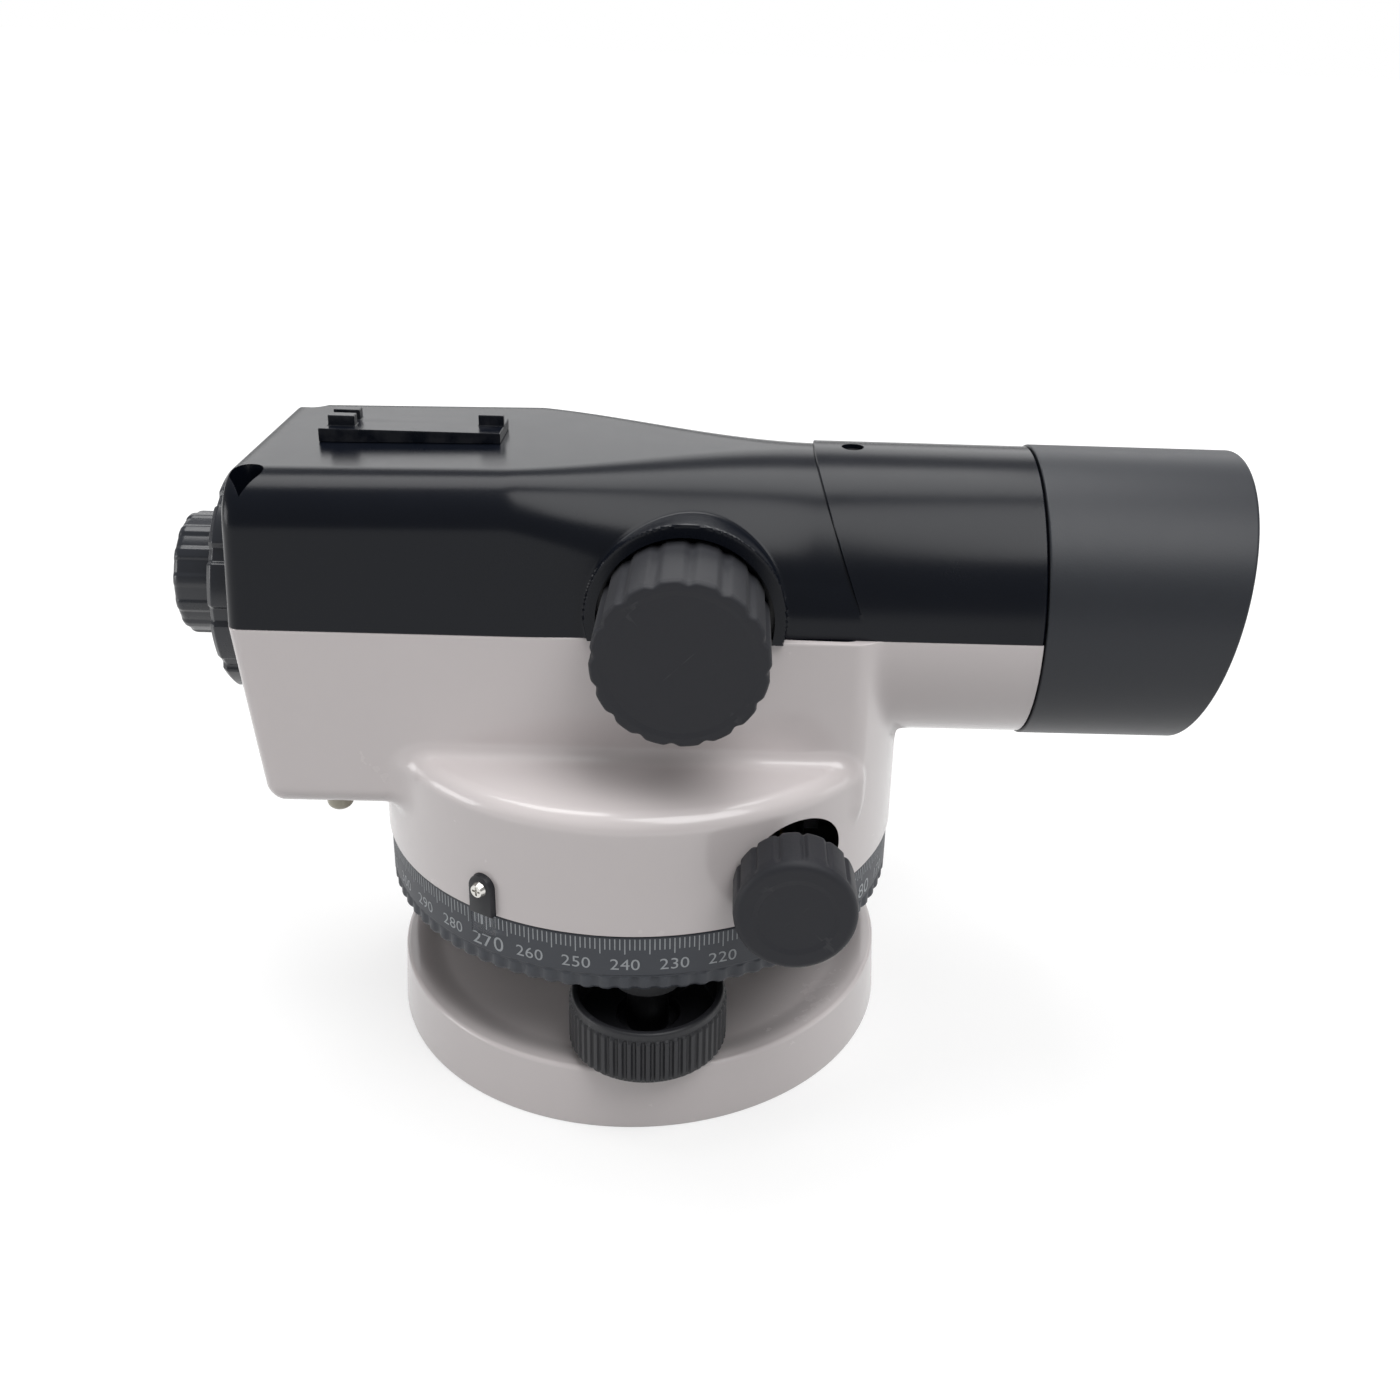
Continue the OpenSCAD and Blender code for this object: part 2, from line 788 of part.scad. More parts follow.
module top_cover() color("#2b2e33") {
  difference() {
    union() {
      difference() {
        union() {
          cover_outside();
          difference() {
            along_x(20, tube_end, tube_r);
            translate([-10, -2 * tube_r, axis_z - 60])
              cube([2 * tube_end, 4 * tube_r, 60]);
            translate([step_x, -2 * tube_r, axis_z + tube_r])
              rotate([0, atan(step_slope), 0])
                translate([-60, 0, -60])
                  cube([60, 4 * tube_r, 80]);
          }
          intersection() {
            along_y(focus_x, focus_z, -focus_boss_y, -12, focus_boss_r);
            translate([focus_x - 50, -focus_boss_y - 10, axis_z])
              cube([100, focus_boss_y, 60]);
          }
        }
        cover_inside();
      }
      for (s = [-1, 1])
        translate([well_x, s * well_y, axis_z])
          cylinder(h = top_rear - axis_z - 4, r = screw_post_r);
    }
    along_x(trough_front - 0.01, tube_end + 1, barrel_r);
    on_eye_axis()
      along_x(rear_x - 7, rear_x + 13, seat_r);
    along_y(focus_x, focus_z, -focus_boss_y - 1, -focus_y + 0.7, focus_knob_r + 0.7);
    along_y(focus_x, focus_z, -focus_boss_y - 7, -10, focus_bush_r);
    for (s = [-1, 1]) {
      screw_well(s);
      translate([well_x, s * well_y, axis_z - 1])
        cylinder(h = 30, r = cover_screw_r);
    }
    translate([lock_x, 0, axis_z + barrel_r - 2])
      cylinder(h = 10, r = lock_r);
  }
}

module cover_screws() color("dimgray") {
  for (s = [-1, 1])
    translate([well_x, s * well_y, 0])
      difference() {
        union() {
          translate([0, 0, axis_z - 9])
            cylinder(h = well_floor - axis_z + 9, r = cover_screw_r);
          translate([0, 0, well_floor])
            cylinder(h = 2.2, r = well_r - free_gap);
        }
        translate([0, 0, well_floor + 0.8])
          cylinder(h = 3, r = 1.2, $fn = 6);
      }
}

module lock_screw() color("dimgray") {
  translate([lock_x, 0, axis_z + barrel_r])
    difference() {
      cylinder(h = tube_r - barrel_r - 0.9, r = lock_r);
      translate([0, 0, 0.6])
        cylinder(h = 3, r = 1, $fn = 6);
    }
}

module gun_sight() color("#2b2e33") {
  x0 = rear_x + 12.7;
  x1 = x0 + sight_l;
  top = top_front + sight_h;
  translate([0, sight_w / 2, 0])
    rotate([90, 0, 0])
      linear_extrude(sight_w)
        polygon([[x0, loft_top(x0)], [x1, loft_top(x1)], [x1, top], [x0, top]]);
  for (y = [-3.4, 1])
    translate([x0 + 1.4, y, top])
      cube([5, 2.4, 2]);
  translate([x1 - 4.8, -0.6, top])
    cube([4.8, 1.2, 2.1]);
}

// Vertical axis
module spindle() color("silver") {
  difference() {
    union() {
      translate([0, 0, nut_pocket_z - 0.3])
        cylinder(h = spindle_flange_z - nut_pocket_z + 0.3, r = spindle_r);
      translate([0, 0, spindle_flange_z])
        cylinder(h = roof_z - spindle_flange_z, r = spindle_flange_r);
      translate([0, 0, hub_z + 0.6])
        cylinder(h = 10, r = 5);
    }
    for (p = spindle_screw_places())
      translate([p[0], p[1], hub_z])
        cylinder(h = roof_z, r = small_screw_r);
  }
}

module spindle_nut() color("silver") {
  difference() {
    ring(hub_z + 1, nut_pocket_z - 0.3, nut_r, 5);
    for (a = [0, 90, 180, 270])
      rotate([0, 0, a])
        translate([nut_r - 2, -1.2, 0])
          cube([4, 2.4, 40]);
  }
}

// Places of the screws under the roof, as x, y, underside and length
inner_screw_r = spindle_flange_r - 3.5;
bracket_t = 3;
bracket_x = spindle_flange_r + free_gap;
function spindle_screw_places() = [for (a = [60, 180, 300]) concat(polar(inner_screw_r, a), [spindle_flange_z, roof_z - spindle_flange_z + 3])];
function bracket_screw_places() = [for (s = [-1, 1]) [bracket_x + 3, s * (ear_y + ear_t / 2), roof_z - bracket_t, bracket_t + 3]];
function inner_screw_places() = concat(spindle_screw_places(), bracket_screw_places());

module inner_screws() color("dimgray") {
  for (p = spindle_screw_places())
    translate([p[0], p[1], p[2]])
      cylinder(h = p[3], r = small_screw_r);
  for (p = bracket_screw_places())
    translate([p[0], p[1], p[2] - 1.6]) {
      cylinder(h = p[3] + 1.6, r = small_screw_r);
      cylinder(h = 1.6, r = small_head_r);
    }
}

module worm_bracket() color("lightgray") {
  difference() {
    union() {
      translate([bracket_x, -ear_y - ear_t, roof_z - bracket_t])
        cube([worm_x + ear_half - bracket_x, 2 * (ear_y + ear_t), bracket_t]);
      for (s = [-1, 1])
        translate([worm_x - ear_half, s > 0 ? ear_y : -ear_y - ear_t, worm_z - 6.5])
          cube([2 * ear_half, ear_t, roof_z - worm_z + 5]);
    }
    along_y(worm_x, worm_z, -40, 40, tangent_bush_r);
    for (p = bracket_screw_places())
      translate([p[0], p[1], p[2] - 1])
        cylinder(h = 10, r = small_screw_r);
  }
}

module worm_bushes() color("goldenrod") {
  for (s = [-1, 1])
    difference() {
      along_y(worm_x, worm_z, s > 0 ? ear_y : -ear_y - ear_t, s > 0 ? ear_y + ear_t : -ear_y, tangent_bush_r);
      along_y(worm_x, worm_z, -40, 40, tangent_shaft_r + run_gap);
    }
}

// Threaded sleeve: one row of profile points for each direction round the axis, shifted along it by the lead
worm_root_half = tooth_t / 2 + dedendum * flank;
worm_tip_half = tooth_t / 2 - addendum * flank;
worm_first = -worm_pitch * worm_turns / 2;
worm_count = 4 * worm_turns;
worm_row = worm_count + 2;
function worm_offset(c) = [-worm_root_half, -worm_tip_half, worm_tip_half, worm_root_half][c];
function worm_reach(c) = c == 1 || c == 2 ? worm_r + addendum : worm_r - dedendum;
function worm_point(j, i) =
  let (
    c = (i - 1) % 4,
    q = floor((i - 1) / 4),
    y = i == 0 ? -worm_half : i == worm_row - 1 ? worm_half
      : worm_first + worm_pitch * (q + j / worm_sides) + worm_offset(c),
    r = i == 0 || i == worm_row - 1 ? worm_r - dedendum : worm_reach(c),
    a = 360 * j / worm_sides)
  [-r * cos(a), y, r * sin(a)];

module worm_sleeve() {
  n = worm_row;
  last = worm_sides - 1;
  quads = concat(
    [for (j = [0 : last - 1]) for (i = [0 : n - 2]) [j * n + i, j * n + i + 1, (j + 1) * n + i + 1, (j + 1) * n + i]],
    [for (i = [1 : worm_count - 5]) [last * n + i, last * n + i + 1, i + 5, i + 4]]);
  start = [for (i = [0 : 4]) [last * n + 1, i + 1, i]];
  finish = [for (i = [worm_count - 4 : worm_count]) [last * n + i, last * n + i + 1, worm_count]];
  polyhedron(
    points = [for (j = [0 : last]) for (i = [0 : n - 1]) worm_point(j, i)],
    faces = concat(
      [for (q = quads) [q[0], q[1], q[2]]],
      [for (q = quads) [q[0], q[2], q[3]]],
      start, [[last * n, last * n + 1, 0]],
      finish, [[worm_count, last * n + n - 1, n - 1]],
      [[for (j = [0 : last]) j * n]],
      [[for (j = [last : -1 : 0]) j * n + n - 1]]),
    convexity = 8);
}

module worm_shaft() color("silver") {
  reach = tangent_y + tangent_knob_l - 3;
  union() {
    along_y(worm_x, worm_z, -reach, reach, tangent_shaft_r);
    translate([worm_x, 0, worm_z])
      worm_sleeve();
    for (s = [-1, 1])
      along_y(worm_x, worm_z, s > 0 ? ear_y - 2.2 : -ear_y + 0.1, s > 0 ? ear_y - 0.1 : -ear_y + 2.2, 4.4);
  }
}

// A fluted rubber knob with a rounded front edge, its back at z = 0
module grip_knob(r, l, n, depth, edge, face_dip, bore_r, bore_l) {
  difference() {
    intersection() {
      linear_extrude(l)
        polygon(fluted(n, r, depth, 0.66));
      rotate_extrude()
        polygon(concat([[0, 0], [r - 0.6, 0], [r + 0.1, 0.7]], arc([r - edge, l - edge], edge + 0.1, 0, 90, 5), [[0, l + 0.1]]));
    }
    translate([0, 0, l - face_dip])
      cylinder(h = 5, r = r - edge - 0.4);
    translate([0, 0, -1])
      cylinder(h = bore_l + 1, r = bore_r);
  }
}

module tangent_knob(s) {
  translate([worm_x, s * tangent_y, worm_z])
    rotate([s > 0 ? -90 : 90, 0, 0])
      union() {
        grip_knob(tangent_knob_r, tangent_knob_l, tangent_flutes, 0.5, 3, 0.3, tangent_shaft_r, tangent_knob_l - 3);
        ring(-10, 0, 5.5, tangent_shaft_r);
      }
}

// Index over the scale
module index_holder() color("#202226") {
  difference() {
    index_slot(index_depth, 0, skirt_z, index_proud);
    rotate([0, 0, index_turn])
      translate([0, -turret_r + 3.5, index_screw_z])
        rotate([90, 0, 0])
          cylinder(h = 6, r = 0.8);
    rotate([0, 0, index_turn])
      translate([-index_half - 1, -turret_r - 5, skirt_z - 1])
        cube([2 * index_half + 2, 5, window_z + window_h + 0.05 - skirt_z + 1]);
  }
}

module index_window() color([0.9, 0.95, 1, 0.4]) {
  rotate([0, 0, index_turn])
    translate([-window_w / 2, -turret_r - window_t, window_z])
      cube([window_w, window_t, window_h]);
}

module index_screw() color("silver") {
  rotate([0, 0, index_turn])
    translate([0, -turret_r - index_proud, index_screw_z])
      rotate([90, 0, 0])
        difference() {
          union() {
            translate([0, 0, -3.4])
              cylinder(h = 3.4, r = 0.8);
            cylinder(h = 0.9, r1 = 1.55, r2 = 1.2);
          }
          for (a = [0, 90])
            rotate([0, 0, a])
              translate([-0.9, -0.2, 0.5])
                cube([1.8, 0.4, 1]);
        }
}

// Focusing drive
module focus_bush() color("goldenrod") {
  difference() {
    union() {
      along_y(focus_x, focus_z, -focus_y + 0.7, -box_w + 6, focus_bush_r);
      along_y(focus_x, focus_z, -box_w + 6, -22, 4);
    }
    along_y(focus_x, focus_z, -40, -10, focus_shaft_r + run_gap);
  }
}

module focus_shaft() color("silver") {
  half = rack_pitch * 0.2;
  to_deg = 180 / PI / pinion_r;
  add = 0.5;
  ded = 0.75;
  union() {
    along_y(focus_x, focus_z, -focus_y - focus_knob_l + 4, pinion_y1 + 0.5, focus_shaft_r);
    translate([focus_x, pinion_y0, focus_z])
      rotate([-90, 0, 0])
        linear_extrude(pinion_y1 - pinion_y0)
          polygon(toothed(pinion_teeth, pinion_r - ded, pinion_r + add, (half + ded * flank) * to_deg,
            (half - add * flank) * to_deg, 90));
  }
}

module focus_knob() color("#3a3c3e") {
  translate([focus_x, -focus_y, focus_z])
    rotate([90, 0, 0])
      grip_knob(focus_knob_r, focus_knob_l, focus_flutes, 0.6, 1.6, 0.01, focus_shaft_r, focus_knob_l - 4);
}

module focus_carriage() color("lightgray") {
  half = rack_pitch * 0.2;
  add = 0.5;
  ded = 0.75;
  x0 = focus_x - carriage_half;
  x1 = focus_x + carriage_half;
  root = rack_line - ded;
  count = floor(rack_half / rack_pitch);
  difference() {
    union() {
      along_x(x0, x1, carriage_r);
      for (s = [-1, 1]) {
        translate([0, s * rod_y, rod_z - axis_z])
          along_x(x0, x1, 3);
        translate([x0, s > 0 ? 10 : -rod_y, rod_z - 1.5])
          cube([x1 - x0, rod_y - 10, 3]);
      }
      translate([x0, pinion_y0 - 0.5, axis_z - 5.2])
        cube([x1 - x0, -12.4 - pinion_y0 + 0.5, 3.5]);
      translate([focus_x - rack_half, pinion_y0 - 0.5, axis_z - 5.2])
        cube([2 * rack_half, pinion_y1 - pinion_y0 + 1, root - axis_z + 5.2]);
      translate([0, pinion_y1 + 0.5, 0])
        rotate([90, 0, 0])
          linear_extrude(pinion_y1 - pinion_y0 + 1)
            for (k = [-count : count - 1])
              translate([focus_x + (k + 0.5) * rack_pitch, rack_line])
                polygon([[-half - ded * flank, -ded - 0.01], [half + ded * flank, -ded - 0.01], [half - add * flank, add], [-half + add * flank, add]]);
    }
    along_x(x0 - 1, x1 + 1, lens_r);
    for (s = [-1, 1])
      translate([0, s * rod_y, rod_z - axis_z])
        along_x(x0 - 1, x1 + 1, rod_r + run_gap);
  }
}

module biconvex(x, r, thick, bulge) {
  big = (r * r + bulge * bulge) / (2 * bulge);
  half = thick / 2;
  edge = asin(r / big);
  translate([x, 0, axis_z])
    rotate([0, 90, 0])
      rotate_extrude()
        polygon(concat(arc([0, big - half], big, -90, edge - 90, 6), arc([0, half - big], big, 90 - edge, 90, 6)));
}

module focus_lens() color([0.8, 0.9, 1, 0.5]) {
  biconvex(focus_x, lens_r, 5, 1.4);
}

module guide_rods() color("silver") {
  for (s = [-1, 1])
    translate([0, s * rod_y, rod_z - axis_z])
      along_x(rod_x0, rod_x1, rod_r);
}

// Objective end
module objective_barrel() color("#202226") {
  difference() {
    along_x(trough_front, tube_end + 9, barrel_r);
    along_x(trough_front - 1, objective_x - 6.5, barrel_r - 2.5);
    along_x(objective_x - 10, objective_x - 4.5, objective_r - 1.5);
    along_x(objective_x - 4.5, tube_end + 10, objective_r);
    along_x(tube_end + 1, tube_end + 10, objective_r + 1.5);
  }
}

module objective_lens() color([0.75, 0.85, 1, 0.5]) {
  biconvex(objective_x, objective_r, objective_t, 2.5);
}

module sunshade() color("#232529") {
  mouth = tube_end + 0.3 + shade_l;
  difference() {
    along_x(tube_end + 0.3, mouth + 10, shade_r);
    along_x(tube_end - 1, tube_end + 9.3, barrel_r);
    along_x(tube_end + 9.29, mouth + 12, shade_bore_r);
    translate([mouth, -2 * shade_r, axis_z])
      rotate([0, shade_slant, 0])
        translate([0, 0, -2 * shade_r])
          cube([60, 4 * shade_r, 4 * shade_r]);
  }
}

// Compensator
module compensator_frame() color("lightgray") {
  union() {
    translate([pend_x - frame_half, -frame_w / 2, shoulder_z])
      cube([2 * frame_half, frame_w, 3]);
    for (s = [-1, 1])
      translate([pend_x - 3, s > 0 ? frame_w / 2 - 3 : -frame_w / 2, shoulder_z])
        cube([6, 3, pivot_z - shoulder_z + 3]);
    translate([pend_x - 3, -frame_w / 2, pivot_z])
      cube([6, frame_w, 3]);
    for (x = [pend_x - frame_half, pend_x + frame_half - 5])
      translate([x, -7, shoulder_z])
        cube([5, 14, axis_z - shoulder_z - 7]);
  }
}

module fixed_prisms() color([0.8, 0.9, 1, 0.5]) {
  z = axis_z - 7;
  for (s = [-1, 1])
    translate([0, 7, 0])
      rotate([90, 0, 0])
        linear_extrude(14)
          polygon([for (q = [[0, 0], [5, 0], [5, 5], [2, 14], [0, 14]]) [pend_x + s * (frame_half - q[0]), z + q[1]]]);
}

module pendulum() color("silver") {
  union() {
    translate([pend_x - 3, -8.5, prism_z - 3])
      cube([6, 17, 3]);
    translate([pend_x, 0, shoulder_z + 7])
      cylinder(h = prism_z - 2 - shoulder_z - 7, r = 1.5);
    translate([pend_x, 0, shoulder_z + 5])
      cylinder(h = 3.5, r = 5);
    for (x = [-2.2, 2.2])
      for (y = [-7.8, 7.8])
        translate([pend_x + x, y, prism_z - 1])
          cylinder(h = pivot_z - prism_z + 0.95, r = 0.25);
  }
}

module pendulum_prism() color([0.8, 0.9, 1, 0.5]) {
  translate([0, 6.5, 0])
    rotate([90, 0, 0])
      linear_extrude(13)
        polygon([for (q = [[-3, 0], [3, 0], [3, 7], [0, 13], [-3, 7]]) [pend_x + q[0], prism_z + q[1]]]);
}

module damper_magnet() color("dimgray") {
  translate([pend_x, 0, 0])
    difference() {
      ring(shoulder_z + 3, shoulder_z + 11, 8, 5.7);
      translate([-10, -1.5, shoulder_z + 7])
        cube([20, 3, 10]);
    }
}

// Eyepiece, whose axis lies lower than the objective's
module on_eye_axis() {
  translate([0, 0, -eye_drop])
    children();
}

module eyepiece_tube() color("#202226") on_eye_axis() {
  difference() {
    union() {
      along_x(eye_face + 1.6, rear_x + 11.3, seat_r);
      along_x(eye_face - dioptre_l + 1.6, eye_face + 2, eye_tube_r);
    }
    along_x(eye_face - 2 * dioptre_l, rear_x + 5.3, ocular_r + run_gap);
    along_x(rear_x + 4.3, rear_x + 13.3, reticle_r);
  }
}

module eyepiece_cover() color("#232529") on_eye_axis() {
  difference() {
    union() {
      along_x(eye_face, eye_face + 1.5, eye_cover_r);
      difference() {
        along_x(eye_face + 1, rear_x - 0.3, eye_cover_r);
        along_x(eye_face, 0, eye_cover_r - 2);
      }
      along_x(eye_face + 1, rear_x - 0.3, seat_r + 2.5);
    }
    along_x(eye_face - 10, eye_face + 1.6, eye_tube_r + 0.1);
    along_x(eye_face + 1.5, 0, seat_r);
    for (a = [0 : 30 : 330])
      translate([0, 0, axis_z])
        rotate([a, 0, 0])
          translate([eye_face - 1, -1.8, eye_cover_r - 0.9])
            cube([10, 3.6, 4]);
  }
}

module dioptre_ring() color("#26282b") on_eye_axis() {
  back = eye_face - 0.2;
  translate([back, 0, axis_z])
    rotate([0, -90, 0])
      difference() {
        intersection() {
          linear_extrude(dioptre_l)
            polygon(fluted(14, dioptre_r, 0.3, 0.55));
          rotate_extrude()
            polygon(concat([[0, 0], [dioptre_r + 0.1, 0]], arc([dioptre_r - 2, dioptre_l - 2], 2.1, 0, 80, 5), [[0, dioptre_l]]));
        }
        translate([0, 0, -1])
          cylinder(h = dioptre_l - 0.7, r = eye_tube_r + run_gap);
        translate([0, 0, -1])
          cylinder(h = dioptre_l + 3, r = 8);
      }
}

module ocular_barrel() color("#202226") on_eye_axis() {
  difference() {
    along_x(eye_face - 6, eye_face - 6 + ocular_l, ocular_r);
    along_x(eye_face - 10, eye_face - 4 + ocular_l, eye_lens_r);
  }
}

module eye_lens() color([0.8, 0.9, 1, 0.5]) on_eye_axis() {
  biconvex(eye_face - 2.4, eye_lens_r, 5, 1.2);
}

module reticle() color([0.9, 0.95, 1, 0.4]) on_eye_axis() {
  along_x(reticle_x, reticle_x + 1.5, reticle_r);
}

// Compensator check button
module check_button() color("gray") {
  big = (button_r * button_r + button_dip * button_dip) / (2 * button_dip);
  low = button_low;
  translate([button_x, button_y, 0])
    union() {
      translate([0, 0, low])
        cylinder(h = box_z + box_floor_t + 0.4 - low, r = button_r);
      intersection() {
        translate([0, 0, low - button_dip + big])
          sphere(r = big);
        translate([0, 0, low - button_dip])
          cylinder(h = button_dip + 0.1, r = button_r);
      }
      translate([0, 0, box_z + box_floor_t + 0.05])
        cylinder(h = 1.2, r = button_flange_r);
    }
}

spring_turns = 5;
spring_low = box_z + box_floor_t + 1.6;
spring_high = bridge_z - 0.3;
function spring_point(k, s) =
  let (a = 360 * k / 10, z = spring_low + (spring_high - spring_low) * k / (10 * spring_turns), q = polar(0.3, 72 * s))
  [(2.6 + q[0]) * cos(a), (2.6 + q[0]) * sin(a), z + q[1]];

module button_spring() color("silver") {
  rings = 10 * spring_turns;
  translate([button_x, button_y, 0])
    polyhedron(
      points = [for (k = [0 : rings]) for (s = [0 : 4]) spring_point(k, s)],
      faces = concat(
        [[for (s = [0 : 4]) s]],
        [for (k = [0 : rings - 1]) for (s = [0 : 4]) [k * 5 + s, k * 5 + 5 + s, k * 5 + 5 + (s + 1) % 5]],
        [for (k = [0 : rings - 1]) for (s = [0 : 4]) [k * 5 + s, k * 5 + 5 + (s + 1) % 5, k * 5 + (s + 1) % 5]],
        [[for (s = [4 : -1 : 0]) rings * 5 + s]]),
      convexity = 6);
}

// Circular level and its mirror on the far side
module level_cup() color("#232529") {
  translate([level_x, level_y, 0])
    difference() {
      translate([0, 0, shoulder_z])
        cylinder(h = level_h, r = level_r);
      translate([0, 0, shoulder_z + 1.5])
        cylinder(h = 10, r = level_r - 1.3);
    }
}

module level_vial() color([0.8, 1, 0.5, 0.6]) {
  r = level_r - 1.3;
  dip = 1;
  big = (r * r + dip * dip) / (2 * dip);
  translate([level_x, level_y, 0])
    union() {
      translate([0, 0, shoulder_z + 1.5])
        cylinder(h = level_h - 1.5, r = r);
      intersection() {
        translate([0, 0, shoulder_z + level_h + 1 - big])
          sphere(r = big);
        translate([0, 0, shoulder_z + level_h - 0.1])
          cylinder(h = 2, r = r);
      }
    }
}

module mirror_place() {
  translate([level_x, mirror_y, mirror_z])
    rotate([mirror_tilt, 0, 0])
      children();
}

module mirror_frame() color("#232529") {
  mirror_place()
    difference() {
      union() {
        translate([-mirror_w / 2, 0, -mirror_t / 2])
          cube([mirror_w, mirror_l, mirror_t]);
        translate([-mirror_w / 2, 0, 0])
          rotate([0, 90, 0])
            cylinder(h = mirror_w, r = 2);
        translate([-mirror_w / 2 - 2.2, 0, 0])
          rotate([0, 90, 0])
            cylinder(h = mirror_w + 4.4, r = 1);
      }
      translate([-mirror_w / 2 + 1.2, 3, -mirror_t / 2 - 1])
        cube([mirror_w - 2.4, mirror_l - 4.2, 2]);
    }
}

module mirror_glass() color("lightsteelblue") {
  mirror_place()
    translate([-mirror_w / 2 + 1.2, 3, -mirror_t / 2])
      cube([mirror_w - 2.4, mirror_l - 4.2, 1]);
}

base_plate();
spring_plate();
spring_plate_screws();
levelling_head();
foot_bushes();
color("goldenrod") foot_ball([1, 2]);  // rear_foot_balls
color("goldenrod") foot_ball([0]);  // front_foot_ball
color("silver") foot_screw(0);  // front_foot_screw
color("#3a3c3e") foot_knob(0);  // front_foot_knob
color("silver") foot_screw(2);  // left_foot_screw
color("#3a3c3e") foot_knob(2);  // left_foot_knob
color("silver") foot_screw(1);  // right_foot_screw
color("#3a3c3e") foot_knob(1);  // right_foot_knob
horizontal_circle();
circle_spring();
worm_wheel();
wheel_spring();
wheel_nut();
housing();
top_cover();
cover_screws();
lock_screw();
gun_sight();
spindle();
spindle_nut();
inner_screws();
worm_bracket();
worm_bushes();
worm_shaft();
color("#3a3c3e") tangent_knob(-1);  // near_tangent_knob
color("#3a3c3e") tangent_knob(1);  // far_tangent_knob
index_holder();
index_window();
index_screw();
focus_bush();
focus_shaft();
focus_knob();
focus_carriage();
focus_lens();
guide_rods();
objective_barrel();
objective_lens();
sunshade();
compensator_frame();
fixed_prisms();
pendulum();
pendulum_prism();
damper_magnet();
eyepiece_tube();
eyepiece_cover();
dioptre_ring();
ocular_barrel();
eye_lens();
reticle();
check_button();
button_spring();
level_cup();
level_vial();
mirror_frame();
mirror_glass();
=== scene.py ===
import json
import math
import bpy
import numpy as np
from mathutils import Matrix, Vector

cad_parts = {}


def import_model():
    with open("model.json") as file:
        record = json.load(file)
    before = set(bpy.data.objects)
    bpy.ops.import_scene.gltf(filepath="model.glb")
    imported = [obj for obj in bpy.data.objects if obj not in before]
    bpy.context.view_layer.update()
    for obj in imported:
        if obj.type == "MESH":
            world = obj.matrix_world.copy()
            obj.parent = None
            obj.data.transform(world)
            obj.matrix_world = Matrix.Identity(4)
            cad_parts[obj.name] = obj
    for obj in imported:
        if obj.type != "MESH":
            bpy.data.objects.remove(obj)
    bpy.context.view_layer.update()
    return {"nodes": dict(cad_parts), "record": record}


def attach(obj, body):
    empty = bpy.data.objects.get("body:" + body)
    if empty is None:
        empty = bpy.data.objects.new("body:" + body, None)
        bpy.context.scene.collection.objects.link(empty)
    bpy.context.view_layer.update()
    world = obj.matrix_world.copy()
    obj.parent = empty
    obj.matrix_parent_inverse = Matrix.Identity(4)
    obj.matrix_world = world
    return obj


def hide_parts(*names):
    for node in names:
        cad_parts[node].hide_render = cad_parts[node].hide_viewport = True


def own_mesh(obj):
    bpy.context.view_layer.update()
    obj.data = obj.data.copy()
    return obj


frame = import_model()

nodes = frame["nodes"]
MM = 0.001

# Main sizes in millimetres, the same as in the part's source
AXIS_Z = 93.7        # height of the telescope's axis
BOX_W = 30.5         # half width of the telescope's box
REAR_X = -73.3       # rear face of the box at the parting line
TURRET_R = 52.4      # radius of the turret
SHOULDER_Z = 69.0    # top of the turret's shoulder
SKIRT_Z = 44.6       # lower edge of the skirt
CIRCLE_R = 52.0      # radius of the graduated circle
CIRCLE_Z = 32.4      # lower edge of the graduated circle
CIRCLE_H = 11.9      # height of the graduated circle
TUBE_R = 28.5        # radius of the telescope's tube
TUBE_END = 75.3      # where the tube ends and the sunshade begins
WORM_X, WORM_Z = 30.3080, 54.7   # axis of the fine motion worm
EYE_Z = 92.7         # height of the eyepiece's axis
BOX_Z = 57.2         # lower face of the box
BORE_Z, BORE_R = 54.8, 8.9       # the worm's bores through the skirt
SEAT_R = 12.55                   # the eyepiece's seat
BUTTON = (-57.2, -23.6)          # place of the check button
INDEX_TURN = -30.1               # the index's angle round the turret
INDEX_HALF = 2.6                 # half width of the index's slot
BOSS_AT, BOSS_R, BOSS_Y = (9.6, 97.9), 18.5, -31.6   # boss round the focusing knob
RECESS_AT = (9.45, 0, 97.75)     # the knob's recess
WELL_AT, WELL_R, WELL_TIP = (-68.8, 22.8), 2.95, 5.3  # wells of the cover's screws
SKIRT_IN, ROOF_Z = 49.4, 65.5    # inner wall and roof of the skirt


# Surfaces

def unit(v):
    """Each vector divided by its length."""
    return v / np.maximum(np.linalg.norm(v, axis=-1, keepdims=True), 1e-12)


def ease(t):
    """3t^2 - 2t^3 between 0 and 1."""
    t = np.clip(t, 0.0, 1.0)
    return t * t * (3.0 - 2.0 * t)


def new_mesh(name, verts, faces):
    """A mesh from points in millimetres."""
    mesh = bpy.data.meshes.new(name)
    faces = faces.tolist() if isinstance(faces, np.ndarray) else faces
    mesh.from_pydata((np.asarray(verts, float) * MM).tolist(), [], faces)
    return mesh


def make_piece(name, verts, faces, body, material, stands_for=(), sharp=35.0, weld=True):
    """A piece from points in millimetres, its doubles merged unless they are meant."""
    mesh = new_mesh(name, verts, faces)
    if weld:
        weld_points(mesh)
    return place(name, mesh, body, material, stands_for, sharp)


